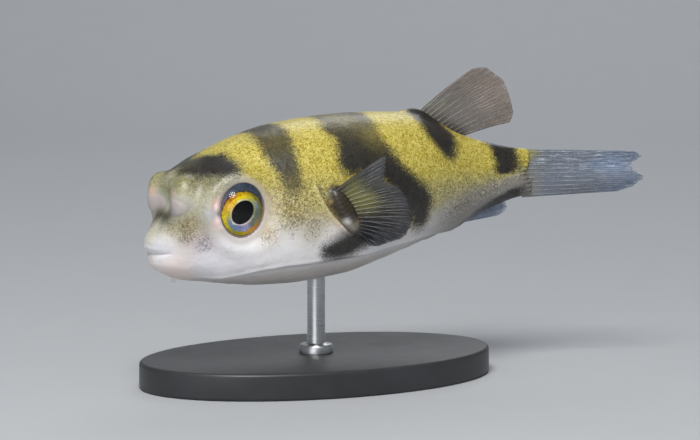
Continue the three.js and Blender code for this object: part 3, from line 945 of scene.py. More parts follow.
def paint_ground(points, s, turn):
    """The colour of every vertex, and how much worm-like grain lies on it."""
    colour = np.tile(np.array(WHITE), (len(points), 1))
    colour = laid_over(colour, BELLY, smoothstep(turn, KEEL(s), KEEL(s) + 14))
    face = (1 - smoothstep(turn, 78, 112)) * (s < 14)
    colour = laid_over(colour, FACE, face)
    yellow = smoothstep(s, YELLOW_FRONT(turn) - 1.2, YELLOW_FRONT(turn) + 1.2)
    low = YELLOW_LOW(s)
    flank = yellow * (1 - smoothstep(turn, low - 12, low + 12))
    colour = laid_over(colour, BEIGE, 0.85 * yellow * (1 - smoothstep(turn, low - 4, low + 20)) * (s < 32))
    colour = laid_over(colour, OLIVE_YELLOW, flank)
    colour = laid_over(colour, LEMON, yellow * (1 - smoothstep(turn, low - 40, low - 14)))
    tail = smoothstep(s, 44.8, 46.6) * smoothstep(turn, 30, 62)
    # painted shade on the rear of the lower flank, where it turns under
    tail = np.maximum(tail, 0.9 * smoothstep(s, 27, 38) * smoothstep(turn, 84, 106))
    colour = laid_over(colour, TAIL_END_GREY_AND_FLANK_SHADE, tail)
    folded = mirrored(points)
    colour = dabbed(colour, folded, DABS)
    rim_ring = rim_place(folded[:, 0], folded[:, 2])[0]
    eye_ring = ridge(rim_ring - 1.08, 0.13) * (s < EYE_REGION_END) * (folded[:, 1] > 3)
    colour = laid_over(colour, EYE_RING, 0.6 * eye_ring)
    lobe_front = 1 - smoothstep(pad_reach(points - (0, 0, 0.3)), 0.95, 1.6)
    colour = laid_over(colour, LOBE_GREY, 0.5 * lobe_front)
    pad = 1 - smoothstep(pad_reach(points), 0.85, 1.05)
    colour = laid_over(colour, PAD_EDGE, 0.5 * ridge(pad_reach(points) - 1.05, 0.09))
    colour = laid_over(colour, PAD_PINK, 0.8 * pad)
    behind_slit, reach = gill_line(points)
    root = 1 - smoothstep(ball_distance(folded, root_form, 1, root_tilt), 0.3, 0.8)
    root = root * (s > GILL_TOP[0] + 0.4) * smoothstep(behind_slit, -0.05, 0.3)
    stria = 0.07 * np.cos(2 * math.pi * down_root(points) / STRIA_PITCH)
    brown = (0.95 + stria) * root * (1 - 0.6 * smoothstep(down_root(points), 3.6, 4.8))
    colour = laid_over(colour, ROOT_BROWN, brown)
    # painted highlight: a golden line along the gill flap's edge
    colour = laid_over(colour, GILL_FLAP_HIGHLIGHT, 0.6 * reach * ridge(behind_slit + 0.4, 0.3))
    # painted shade in the gill slit
    colour = laid_over(colour, GILL_SLIT_SHADE, 0.9 * reach * ridge(behind_slit - 0.05, 0.17))
    colour = dabbed(dabbed(colour, folded, ROOT_DABS), folded, TOP_DABS)
    grainy = np.maximum(flank, 0.5 * face * (1 - lobe_front) * smoothstep(points[:, 2], -2.2, -0.4))
    grainy = grainy * (1 - spot(folded, EYE_FOLDS, 1.6)) * (1 - 0.8 * eye_ring)
    return colour, grainy * (1 - root) * (1 - 0.9 * spot(folded, *LOBE_PATCH))


ground, grainy = paint_ground(flesh, paint_s, paint_turn)
print("mean ground colour:", ground.mean(0).round(2)[:3])

# %% [markdown]
# ## Speckle and ink
# The markings are finished by more attributes, one number for each vertex. `speckle` says how
# thickly dark grains lie on the ground and `flecks` how thickly pale ones do. `ink` is how dark a
# bar is, since the upper ends of the middle bars are thin, and `raggedness` how broken its edge.
# `granule` is where the skin shows its worm-like texture, and `socket` the bowl behind an eye,
# which the skin's finish paints a darker grey pink as painted shade.

# %% Speckle, flecks and ink
SPECKLE_DABS = [  # along, to the side, up, radius, strength
    (2.5, 3.8, -0.6, 2.0, 1.2),
    (4.4, 4.9, -1.8, 1.9, 1.1),
    (1.6, 1.8, -0.2, 1.8, 1.05),
    (4.0, 4.4, 1.2, 2.2, 0.78),
    (3.2, 4.7, -2.6, 0.8, 1.1),
    (13.8, 7.7, 0.2, 3.4, 1.2),
    (11.0, 6.8, -2.0, 2.2, 1.05),
    (16.2, 8.3, -1.4, 2.8, 1.05),
    (6.4, 6.3, -3.2, 2.0, 0.7),
    (2.2, 0.9, 1.4, 1.6, 0.6),
    (4.4, 3.2, 5.0, 2.6, 0.95),
    (6.6, 5.4, 4.8, 2.0, 0.85),
    (4.4, 5.3, 3.0, 1.8, 0.65),
]
PALE_INK = [  # along, degrees, radius, how much thinner
    (23.5, 12, 2.6, 0.26),
    (26.0, 40, 1.6, 0.25),
    (14.4, 25, 2.6, 0.15),
    (14.2, 68, 1.2, 0.25),
    (5.0, 8, 1.2, 0.15),
]


def paint_speckle(points, s, turn, grainy):
    folded = mirrored(points)
    speckle = 0.3 * grainy * smoothstep(turn, 60, 95) + 0.12 * grainy
    for along, side, up, radius, strength in SPECKLE_DABS:
        speckle = np.maximum(speckle, strength * spot(folded, (along, side, up), radius))
    behind_saddle = ridge(s - 33.5, 1.8) * ridge((turn - 96) * DEGREE_MM, 2.4)
    under_dorsal = ridge(s - 37.0, 1.8) * ridge((turn - 74) * DEGREE_MM, 1.3)
    rear = smoothstep(s, 31, 35) * ridge((turn - YELLOW_LOW(s) - 12) * DEGREE_MM, 2.4)
    speckle = np.maximum(speckle, 0.6 * behind_saddle + 0.45 * under_dorsal)
    speckle = np.maximum(speckle, 0.9 * rear)
    pale = speckle * (0.3 + 0.7 * smoothstep(s, 9, 11))
    pale = np.maximum(pale, 1.1 * spot(folded, (2.9, 4.2, -0.8), 1.8))
    calm = 1 - 0.95 * (1 - smoothstep(pad_reach(points), 0.9, 1.35))
    calm *= 1 - 0.9 * spot(folded, (5.4, 5.9, 1.0), 1.7)
    calm *= 1 - 0.75 * ridge(rim_place(folded[:, 0], folded[:, 2])[0] - 1.05, 0.14) * (s < EYE_REGION_END)
    calm *= smoothstep(ball_distance(folded, root_form, 1, root_tilt), 0.2, 0.8)
    patch = spot(folded, *LOBE_PATCH)
    return speckle * calm * (1 - 0.5 * patch), pale * calm * (1 - 0.95 * patch)


def paint_ink(s, turn):
    ink = np.ones(len(s))
    for along, degrees, radius, thinner in PALE_INK:
        apart = np.hypot(s - along, (turn - degrees) * DEGREE_MM)
        ink -= thinner * ridge(apart, radius)
    return ink


speckle, flecks = paint_speckle(flesh, paint_s, paint_turn, grainy)
ink = paint_ink(paint_s, paint_turn)
print("most speckle:", round(float(speckle.max()), 2), "palest ink:", round(float(ink.min()), 2))


# %% Attributes of the skin
def inside_sockets(points):
    ring = rim_place(points[:, 0], points[:, 2])[0]
    inside = (ring < 1) & (np.abs(points[:, 1]) > EYE_SIDE) & (points[:, 0] < EYE_REGION_END)
    return inside.astype(float)


FLAP_COUNT = len(skin_mesh.vertices) - len(flesh)  # the chin flaps' vertices come last
FLAP_COLOUR = screen(240, 236, 234)
raggedness = 1 - 0.75 * ridge(paint_s - 20, 3.0) * smoothstep(paint_turn, 90, 98)
flap_paint = np.tile(FLAP_COLOUR, (FLAP_COUNT, 1))
set_attribute(skin_mesh, "ground", np.concatenate([ground, flap_paint]), "FLOAT_COLOR")
for name, values, on_flaps in (
    ("flecks", flecks, 0),
    ("bar_depth", bar_depth, -FAR_OUTSIDE),
    ("raggedness", raggedness, 1),
    ("ink", ink, 0),
    ("speckle", speckle, 0),
    ("granule", grainy, 0),
    ("socket", inside_sockets(flesh), 0),
):
    set_attribute(skin_mesh, name, np.concatenate([values, np.full(FLAP_COUNT, on_flaps)]))
print("skin attributes:", [layer.name for layer in skin_mesh.attributes if not layer.is_internal])

# %% [markdown]
# ## The skin's finish
# Fish skin is a clear wet film over pigment cells. The pigment is built from the attributes, with
# grain noise at the real size of the cells. The Principled shader adds a little subsurface
# light, a satin surface and a thin clear coat. The bump is a fine pebbling, because a puffer has
# prickles and no scales.

# %% Skin material
GRAIN_MM = 0.17
EDGE_BREAK = 0.75  # how far the grains carry a bar's edge, in millimetres


def make_skin_material():
    material, tree, output = new_material("puffer_skin")
    place = millimetres(tree)
    fine = grain_of(tree, place, GRAIN_MM, 3.0, 0.6, 0.6)
    worm = grain_of(tree, place, GRAIN_MM * 1.7, 2.0, 0.5, 1.6)
    broad = grain_of(tree, place, 1.4, 2.0)
    ground_paint = named_value(tree, "ground", "Color")
    granule = named_value(tree, "granule")

    worm_light = between(tree, worm, 0.36, 0.62)
    dark_cells = mixed(tree, 1.0, ground_paint, screen(198, 193, 152), "MULTIPLY")
    light_cells = mixed(tree, 0.42, ground_paint, screen(250, 240, 156))
    textured = mixed(tree, worm_light, dark_cells, light_cells)
    colour = mixed(tree, math_node(tree, "MULTIPLY", granule, 0.85), ground_paint, textured)

    fine_part, broad_part = math_node(tree, "MULTIPLY", fine, 0.75), math_node(tree, "MULTIPLY", broad, 0.25)
    clumps = math_node(tree, "ADD", fine_part, broad_part)
    threshold = between(tree, named_value(tree, "speckle"), 0.0, 1.0, 0.76, 0.44, "LINEAR")
    above = math_node(tree, "SUBTRACT", clumps, threshold)
    specks = between(tree, above, 0.0, 0.13)
    speck_strength = math_node(tree, "MULTIPLY", specks, 0.6)
    colour = mixed(tree, speck_strength, colour, screen(70, 58, 40))

    shifted = node(tree, "Mapping", {"Vector": place, "Location": (7.3, 2.1, 4.4)}).outputs["Vector"]
    pale = grain_of(tree, shifted, GRAIN_MM * 1.2, 2.0, 0.6, 0.5)
    flecks = math_node(tree, "MULTIPLY", between(tree, pale, 0.53, 0.64), named_value(tree, "flecks"))
    colour = mixed(tree, math_node(tree, "MULTIPLY", flecks, 0.6), colour, screen(228, 218, 178))

    # The clumps stray by about a fifth from their middle.
    wobble = centred(tree, clumps, EDGE_BREAK * 5)
    wobble = math_node(tree, "MULTIPLY", wobble, named_value(tree, "raggedness"))
    broken = math_node(tree, "ADD", named_value(tree, "bar_depth"), wobble)
    bar = between(tree, broken, -0.75, 0.75)
    bar = math_node(tree, "MULTIPLY", bar, named_value(tree, "ink"))
    bar_colour = mixed(tree, worm_light, screen(22, 20, 18), screen(48, 44, 38))
    colour = mixed(tree, bar, colour, bar_colour)
    # painted shade: the bowl behind each eye is laid over in a darker grey pink
    colour = mixed(tree, named_value(tree, "socket"), colour, screen(128, 116, 116))

    pebbles = node(tree, "TexVoronoi", {"Vector": place, "Scale": 1 / 0.34}, feature="SMOOTH_F1")
    relief = math_node(tree, "ADD", math_node(tree, "MULTIPLY", pebbles.outputs["Distance"], -0.8), fine)
    shader = node(tree, "BsdfPrincipled", {
        "Base Color": colour,
        "Roughness": between(tree, fine, 0.3, 0.7, 0.36, 0.5, "LINEAR"),
        "Subsurface Weight": 0.14,
        "Subsurface Radius": (1.0, 0.55, 0.35),
        "Subsurface Scale": 0.9 * MM,
        "Coat Weight": 0.16,
        "Coat Roughness": 0.25,
        "Normal": bumped(tree, relief, 0.035, 0.6),
    })
    tree.links.new(shader.outputs[0], output.inputs["Surface"])
    return material


skin.data.materials.append(make_skin_material())
print("skin finish:", skin.data.materials[0].name)

# %% [markdown]
# ## Eyes
# An eye is two pieces. The first is the globe: one closed sphere whose front is reshaped into a
# dark lens sunk in the pupil, the iris as a shallow cone round it, and the slate-blue margin
# that goes under the lid. The second is the clear cornea over them. A real cornea bends light,
# which a render of a 5 mm eye pays for in noise, so this one only reflects, and lets light through.

# %% Eye shapes
IRIS_CENTRE = (8.45, 0.85)  # along and up
IRIS_RADIUS = 2.43
GLOBE_CENTRE = (8.4, 1.15)
GLOBE_RADII = (2.8, 3.16)
PUPIL_RADII = (1.13, 1.42)
PUPIL_LEAN = math.radians(42)  # its long axis leans back at the top
PUPIL_SHIFT = (-0.08, 0.17)
IRIS_EDGE_OUT, IRIS_INNER_OUT = 1.08, 1.34  # how far out of the globe's middle
# Shares of the way from the front pole to the back pole at which each part of the globe ends.
LENS_END, WALL_END, IRIS_END, MARGIN_END = 0.16, 0.19, 0.42, 0.55
LENS_SUNK, LENS_DOME = 0.2, 0.25
FIBRES, FIBRE_RELIEF = 34, 0.03
GLOBE_DEPTH = 1.6
EYE_AROUND, EYE_ALONG, CORNEA_ALONG = 96, 72, 48


def oval_radius(radii, lean, turn):
    """Radius of a leaning oval in a direction."""
    local = turn - lean
    return 1 / np.hypot(np.cos(local) / radii[1], np.sin(local) / radii[0])


def sphere_parts(name, around, along):
    """A UV sphere's mesh with each vertex's share from front pole to back pole and its turn."""
    bm = bmesh.new()
    bmesh.ops.create_uvsphere(bm, u_segments=around, v_segments=along, radius=1)
    mesh = bpy.data.meshes.new(name)
    bm.to_mesh(mesh)
    bm.free()
    points = np.empty(len(mesh.vertices) * 3)
    mesh.vertices.foreach_get("co", points)
    x, y, z = points.reshape(-1, 3).T
    return mesh, np.arccos(np.clip(z, -1, 1)) / math.pi, np.arctan2(y, x)


def finish_mesh(mesh, world_points):
    """Moves a mesh's vertices to their final places and turns its faces outwards."""
    mesh.vertices.foreach_set("co", world_points.ravel())
    bm = bmesh.new()
    bm.from_mesh(mesh)
    bmesh.ops.recalc_face_normals(bm, faces=bm.faces)
    bm.to_mesh(mesh)
    bm.free()
    mesh.update()


def ramp_between(share, low, high):
    return np.clip((share - low) / (high - low), 0, 1)


print("pupil, mm:", [round(2 * radius, 2) for radius in PUPIL_RADII])


# %% Globes
def globe_points(share, turn):
    """Along, out and up of the globe's surface, and its ring: -1 pupil, 0 to 1 iris, 2 margin."""
    pupil = oval_radius(PUPIL_RADII, PUPIL_LEAN, turn)
    lens = ramp_between(share, 0, LENS_END)
    wall = ramp_between(share, LENS_END, WALL_END)
    iris = ramp_between(share, WALL_END, IRIS_END)
    margin = ramp_between(share, IRIS_END, MARGIN_END)
    rear = ramp_between(share, MARGIN_END, 1.0)
    globe = oval_radius(GLOBE_RADII[::-1], 0, turn)
    radius = pupil * lens + (IRIS_RADIUS - pupil) * iris + (globe - IRIS_RADIUS) * margin
    radius = radius * np.cos(rear * math.pi / 2)
    lens_edge = IRIS_INNER_OUT - LENS_SUNK
    out = lens_edge + LENS_DOME * (1 - lens**2) + (IRIS_INNER_OUT - lens_edge) * wall
    ripple = FIBRE_RELIEF * np.sin(turn * FIBRES) * np.sin(math.pi * iris) * (iris > 0)
    out = out + (IRIS_EDGE_OUT - IRIS_INNER_OUT) * iris**1.3 + ripple
    out = out + 0.06 * margin - GLOBE_DEPTH * np.sin(rear * math.pi / 2)
    out = out + RIM_SPLAY * radius * np.cos(turn) * (rear == 0)
    to_globe = np.maximum(margin, rear > 0)
    shift = 1 - smoothstep(iris, 0.0, 0.9)
    middle_s, middle_up = (
        IRIS_CENTRE[axis] + PUPIL_SHIFT[axis] * shift + (GLOBE_CENTRE[axis] - IRIS_CENTRE[axis]) * to_globe
        for axis in (0, 1)
    )
    s, up = middle_s + radius * np.cos(turn), middle_up + radius * np.sin(turn)
    return s, EYE_CENTRE[1] + out, up, iris + margin - (1 - wall)


def make_globe(name, side):
    mesh, share, turn = sphere_parts("eye_" + name, EYE_AROUND, EYE_ALONG)
    s, left, up, ring = globe_points(share, turn)
    finish_mesh(mesh, to_world(s, side * left, up))
    offset = np.stack([s - IRIS_CENTRE[0], up - IRIS_CENTRE[1], ring], -1)
    set_attribute(mesh, "iris_place", offset, "FLOAT_VECTOR")
    return new_object("eye_globe_" + name, mesh, replaces=["eye_" + name])


globes = [make_globe(name, side) for name, side in SIDES.items()]
print("globes:", [piece.name for piece in globes])

# %% Corneas
CORNEA_RADII = (2.84, 3.2)
CORNEA_OUT = 2.35
CORNEA_WALL = 0.12


def make_cornea(name, side):
    mesh, share, turn = sphere_parts("cornea_" + name, EYE_AROUND, CORNEA_ALONG)
    polar = share * math.pi
    outer = share <= 0.5
    # The inner half of the sphere is folded back under the outer one, a wall's thickness in.
    height = np.where(outer, CORNEA_OUT * np.cos(polar), (CORNEA_OUT - CORNEA_WALL) * -np.cos(polar))
    radius = oval_radius(CORNEA_RADII[::-1], 0, turn) * np.sin(polar)
    radius = np.where(outer, radius, radius * (1 - CORNEA_WALL / 3))
    s, up = GLOBE_CENTRE[0] + radius * np.cos(turn), GLOBE_CENTRE[1] + radius * np.sin(turn)
    finish_mesh(mesh, to_world(s, side * (EYE_CENTRE[1] + height), up))
    return new_object("cornea_" + name, mesh)


corneas = [make_cornea(name, side) for name, side in SIDES.items()]
print("corneas:", [piece.name for piece in corneas])

# %% [markdown]
# ## The colours of the eye
# The iris is a set of rings: a bright thread round the pupil, a band of lemon above and of blue
# below, a golden rim, and then the slate margin. Each ring is a colour ramp over the angle round
# the eye, and the rings are blended by how far out a point lies. Fibre noise, stretched along
# the radius, ties them together.

# %% Iris rings
# Each ring's colours by turn: 0 is towards the tail, then over the top, front and bottom.
IRIS_RINGS = {
    "thread": [
        (0.0, (150, 150, 120)), (0.12, (170, 170, 130)), (0.28, (250, 238, 190)), (0.38, (252, 200, 120)),
        (0.5, (225, 205, 160)), (0.62, (230, 214, 214)), (0.75, (236, 214, 214)), (0.88, (190, 186, 160)),
        (1.0, (150, 150, 120)),
    ],
    "middle": [
        (0.0, (110, 124, 118)), (0.08, (140, 162, 170)), (0.15, (196, 190, 70)), (0.25, (250, 222, 20)),
        (0.38, (250, 205, 40)), (0.48, (206, 190, 60)), (0.58, (120, 150, 170)), (0.68, (128, 146, 190)),
        (0.77, (170, 170, 214)), (0.86, (120, 130, 110)), (1.0, (110, 124, 118)),
    ],
    "rim": [
        (0.0, (120, 118, 50)), (0.12, (140, 130, 30)), (0.24, (214, 176, 10)), (0.34, (190, 120, 10)),
        (0.42, (214, 160, 20)), (0.52, (232, 208, 30)), (0.66, (170, 160, 40)), (0.76, (206, 176, 10)),
        (0.84, (236, 160, 20)), (0.93, (150, 130, 40)), (1.0, (120, 118, 50)),
    ],
    "edge": [
        (0.0, (60, 64, 60)), (0.2, (58, 46, 30)), (0.36, (96, 52, 24)), (0.48, (110, 90, 50)),
        (0.6, (120, 110, 60)), (0.8, (130, 96, 40)), (1.0, (60, 64, 60)),
    ],
    "margin": [
        (0.0, (120, 118, 118)), (0.1, (70, 78, 88)), (0.2, (64, 76, 92)), (0.3, (88, 98, 114)),
        (0.42, (140, 138, 156)), (0.6, (170, 154, 158)), (0.8, (176, 160, 150)), (1.0, (120, 116, 116)),
    ],
}


def angle_ramp(tree, turn, stops):
    made = node(tree, "ValToRGB", {"Fac": turn})
    ramp = made.color_ramp
    ramp.interpolation = "EASE"
    while len(ramp.elements) < len(stops):
        ramp.elements.new(0.5)
    # The places come first, because a ramp sorts its stops as they move.
    for element, (position, _) in zip(ramp.elements, stops):
        element.position = position
    for element, (_, colour) in zip(ramp.elements, stops):
        element.color = screen(*colour)
    return made.outputs["Color"]


print("iris rings:", list(IRIS_RINGS))


# %% Iris and cornea materials
def make_iris_material():
    material, tree, output = new_material("puffer_iris")
    place = node(tree, "SeparateXYZ", {"Vector": named_value(tree, "iris_place", "Vector")}).outputs
    turn = math_node(tree, "ARCTAN2", place["Y"], place["X"])
    turn = math_node(tree, "DIVIDE", turn, 2 * math.pi)
    turn = math_node(tree, "FRACT", math_node(tree, "ADD", turn, 1.0))
    spokes = math_node(tree, "MULTIPLY", turn, 60.0)
    fibre_vector = node(tree, "CombineXYZ", {"X": spokes, "Y": math_node(tree, "MULTIPLY", place["Z"], 2.5)})
    fibre = grain_of(tree, fibre_vector.outputs[0], 1.0, 3.0)
    soft = grain_of(tree, millimetres(tree), 0.5, 2.0)
    ring = math_node(tree, "ADD", place["Z"], centred(tree, soft, 0.35))
    rings = {name: angle_ramp(tree, turn, stops) for name, stops in IRIS_RINGS.items()}
    colour = mixed(tree, between(tree, place["Z"], -0.25, -0.05), screen(6, 6, 9), rings["thread"])
    colour = mixed(tree, between(tree, ring, 0.08, 0.24), colour, rings["middle"])
    colour = mixed(tree, between(tree, ring, 0.5, 0.68), colour, rings["rim"])
    colour = mixed(tree, between(tree, ring, 0.86, 0.99), colour, rings["edge"])
    colour = mixed(tree, between(tree, place["Z"], 0.98, 1.12), colour, rings["margin"])
    on_iris = between(tree, place["Z"], -0.1, 0.1)
    fibre_shade = math_node(tree, "SUBTRACT", between(tree, fibre, 0.3, 0.72, 0.62, 1.12, "LINEAR"), 1.0)
    shade = math_node(tree, "ADD", math_node(tree, "MULTIPLY", fibre_shade, on_iris), 1.0)
    toned = node(tree, "HueSaturation", {"Color": colour, "Value": shade}).outputs["Color"]
    shader = node(tree, "BsdfPrincipled", {
        "Base Color": toned,
        "Roughness": 0.42,
        "Metallic": math_node(tree, "MULTIPLY", on_iris, 0.25),
        "Specular IOR Level": 0.1,
        "Normal": bumped(tree, fibre, 0.03, 0.5),
    })
    tree.links.new(shader.outputs[0], output.inputs["Surface"])
    return material


def make_cornea_material():
    material, tree, output = new_material("clear_cornea")
    mist = grain_of(tree, millimetres(tree), 1.2, 1.0)
    clear = node(tree, "BsdfTransparent", {"Color": (1, 1, 1, 1)})
    gloss = node(tree, "BsdfGlossy", {"Roughness": between(tree, mist, 0.3, 0.7, 0.09, 0.13, "LINEAR")})
    edge = node(tree, "Fresnel", {"IOR": 1.38}).outputs[0]
    outer = math_node(tree, "SUBTRACT", 1.0, node(tree, "NewGeometry").outputs["Backfacing"])
    shine = math_node(tree, "MULTIPLY", edge, outer)
    joined = node(tree, "MixShader", {0: shine, 1: clear.outputs[0], 2: gloss.outputs[0]})
    tree.links.new(joined.outputs[0], output.inputs["Surface"])
    return material


for pieces, material in ((globes, make_iris_material()), (corneas, make_cornea_material())):
    for piece in pieces:
        piece.data.materials.append(material)
print("eye finishes:", [piece.data.materials[0].name for piece in globes + corneas])

# %% [markdown]
# ## Fins
# A fin is a fan of bony rays with a thin membrane between them. A cloth simulation could drape
# it, but the fan is a simple surface of two numbers: which share of the root a ray starts from,
# and how far out along the ray a point is. `create_grid` gives those two numbers, `solidify` a
# second face a little apart, and then every vertex is placed and thickened by the rays.

# %% Fans
# Each knot is a ray: its share of the root, its angle over the midline in degrees, its length.
# A bow bends all rays by some degrees, and notched is how rough the free edge is.
FANS = {
    "pectoral": {
        "rays": 15,
        "bow": 4,
        "notched": 1,
        "knots": [
            (0, 33, 6.9), (0.2, 20, 5.5), (0.35, 11, 6.9), (0.55, 2, 7.3), (0.75, -12, 6.4), (0.9, -23, 4.2),
            (1, -48, 2.0),
        ],
        "ripple": 0.22,
    },
    "dorsal": {
        "rays": 11,
        "bow": 5,
        "notched": 0.35,
        "knots": [
            (0, 35, 8.6), (0.12, 32.5, 9.6), (0.35, 28.5, 9.6), (0.65, 22.5, 8.4), (0.88, 17, 7.2),
            (1, 13, 6.0),
        ],
        "ripple": 0.3,
    },
    "anal": {
        "rays": 10,
        "bow": -3,
        "notched": 0.5,
        "knots": [(0, 1, 8.6), (0.3, 3, 8.2), (1, 9, 5.4)],
        "ripple": 0.2,
    },
    "caudal": {
        "rays": TAIL_RAYS,
        "bow": 0,
        "notched": 1,
        "knots": [
            (0, -5.8, 13.6), (0.12, -5.4, 14.1), (0.38, -4.6, 12.9), (0.62, -3.9, 14.2), (0.8, -3.4, 13.4),
            (1, -1.8, 11.4),
        ],
        "ripple": 0.3,
    },
}
PECTORAL_STAND = math.radians(30)
DORSAL_ROOT, ANAL_ROOT = (33.3, 38.7), (34.0, 38.0)
ROOT_DEPTH = 0.9
CAUDAL_START, CAUDAL_HALF = 46.3, 2.75
COLUMNS_PER_RAY = 18
FIN_ROWS = 90
SHEET_HALF = 0.055  # half the membrane's thickness
RAY_HALF = 0.045  # what a ray adds to it
PECTORAL_FULLNESS = 1.6  # the pectoral fins are fleshier
print("rays:", {kind: fan["rays"] for kind, fan in FANS.items()})


# %% Fin surfaces
def ray_relief(share, reach, rays):
    """1 on a ray, 0 between rays; each ray splits in two, and then in four."""
    cell = share * rays
    v = cell - np.floor(cell) - 0.5
    number = np.floor(cell)
    split = 0.22 * smoothstep(reach, 0.24 + 0.07 * np.sin(number * 2.3), 0.75)
    second = 0.11 * smoothstep(reach, 0.55 + 0.07 * np.cos(number * 1.7), 1.0)
    width = 0.075 - 0.035 * reach
    offsets = [a * split + b * second for a in (-1, 1) for b in (-1, 1)]
    return np.max([ridge(v - offset, width) for offset in offsets], axis=0)


def fan_lines(fan):
    angle_line = smooth_through([(knot[0], knot[1]) for knot in fan["knots"]])
    length_line = smooth_through([(knot[0], knot[2]) for knot in fan["knots"]])
    return angle_line, length_line


def pectoral_surface(share, ray, turn, side):
    """A fan that stands off the flank; ray is how far out along its ray a point is."""
    s = PECTORAL_ROOT_TOP[0] + (PECTORAL_ROOT_BOTTOM[0] - PECTORAL_ROOT_TOP[0]) * share
    up = PECTORAL_ROOT_TOP[1] + (PECTORAL_ROOT_BOTTOM[1] - PECTORAL_ROOT_TOP[1]) * share
    along = ray * np.cos(turn)
    left = half_width_at(s) + along * math.sin(PECTORAL_STAND)
    return s + along * math.cos(PECTORAL_STAND), side * left, up + ray * np.sin(turn)


def midline_surface(root, edge, direction, share, ray, turn):
    """An upright fan over the back (direction 1) or under the belly (direction -1)."""
    s = root[0] + (root[1] - root[0]) * share
    up = edge(s) - direction * ROOT_DEPTH + ray * np.sin(turn)
    return s + ray * np.cos(turn), np.zeros_like(share), up


def caudal_surface(share, ray, turn):
    up = CAUDAL_HALF * (1 - 2 * share) + ray * np.sin(turn)
    return CAUDAL_START + ray * np.cos(turn), np.zeros_like(share), up


def fin_surface(kind, share, reach, side):
    """Millimetres along, left and up of the middle of the fin."""
    fan = FANS[kind]
    angle_line, length_line = fan_lines(fan)
    added = ROOT_DEPTH if kind in ("dorsal", "anal") else 0
    cell = share * fan["rays"]
    notch = 0.007 * (1 + np.cos(2 * math.pi * cell))  # between the rays
    notch = notch + 0.008 * np.sin(cell * 2.3 + 1) + 0.004 * np.sin(cell * 13)  # and uneven wear
    ray = reach * (length_line(share) + added) * (1 - fan["notched"] * notch * smoothstep(reach, 0.75, 1))
    turn = np.radians(angle_line(share) + fan["bow"] * (0.5 - reach))
    if kind == "pectoral":
        return np.stack(pectoral_surface(share, ray, turn, side), -1)
    if kind == "caudal":
        return np.stack(caudal_surface(share, ray, turn), -1)
    root, edge, direction = (DORSAL_ROOT, back_at, 1) if kind == "dorsal" else (ANAL_ROOT, belly_at, -1)
    return np.stack(midline_surface(root, edge, direction, share, ray, turn), -1)


tail_tips = fin_surface("caudal", np.linspace(0, 1, TAIL_RAYS), np.ones(TAIL_RAYS), 1)
print("farthest tip of the tail fin, mm behind the lips:", round(float(tail_tips[:, 0].max()), 2))


# %% Making the fins
def fin_normal(kind, share, reach, side):
    step = 1e-3
    across = fin_surface(kind, share + step, reach, side) - fin_surface(kind, share - step, reach, side)
    out = fin_surface(kind, share, reach + step, side) - fin_surface(kind, share, reach - step, side)
    normal = np.cross(out, across)
    return normal / np.maximum(np.linalg.norm(normal, axis=1), 1e-9)[:, None]


def make_fin(name, kind, side):
    """A fin of two faces with its rays raised; `name` is the solid that it replaces."""
    fan = FANS[kind]
    bm = bmesh.new()
    bmesh.ops.create_grid(bm, x_segments=fan["rays"] * COLUMNS_PER_RAY, y_segments=FIN_ROWS, size=1)
    bmesh.ops.solidify(bm, geom=list(bm.faces), thickness=0.5)
    mesh = bpy.data.meshes.new("skin_" + name)
    bm.to_mesh(mesh)
    bm.free()
    points = np.empty(len(mesh.vertices) * 3)
    mesh.vertices.foreach_get("co", points)
    points = points.reshape(-1, 3)
    share, reach = (points[:, 0] + 1) / 2, (points[:, 1] + 1) / 2
    face = np.where(points[:, 2] > points[:, 2].mean(), 1, -1)
    normal = fin_normal(kind, share, reach, side)
    ray = ray_relief(share, reach, fan["rays"])
    wave = np.sin(share * 9 + reach * 2.2) * 0.6 + np.sin(share * fan["rays"] * 2 * math.pi) * 0.05
    ripple = fan["ripple"] * wave * smoothstep(reach, 0.15, 1)
    rim = np.minimum(np.minimum(share, 1 - share) * fan["rays"] * 3, (1 - reach) * 25)
    thin = np.sqrt(np.clip(rim, 0.02, 1)) * (1.5 - 0.9 * reach)
    half = (SHEET_HALF + RAY_HALF * ray) * thin * (PECTORAL_FULLNESS if kind == "pectoral" else 1.0)
    place = fin_surface(kind, share, reach, side) + normal * (ripple + face * half)[:, None]
    finish_mesh(mesh, to_world(*place.T))
    length = fan_lines(fan)[1](share)
    set_attribute(mesh, "fin_place", np.stack([share, reach, reach * length], -1), "FLOAT_VECTOR")
    set_attribute(mesh, "ray", ray)
    return new_object("skin_" + name, mesh, replaces=[name])


FINS = {  # the solid's name: kind of fan, side
    "dorsal_fin": ("dorsal", 1),
    "anal_fin": ("anal", 1),
    "caudal_fin": ("caudal", 1),
    "pectoral_fin_left": ("pectoral", 1),
    "pectoral_fin_right": ("pectoral", -1),
}
fins = {name: make_fin(name, kind, side) for name, (kind, side) in FINS.items()}
print("fins:", list(fins))
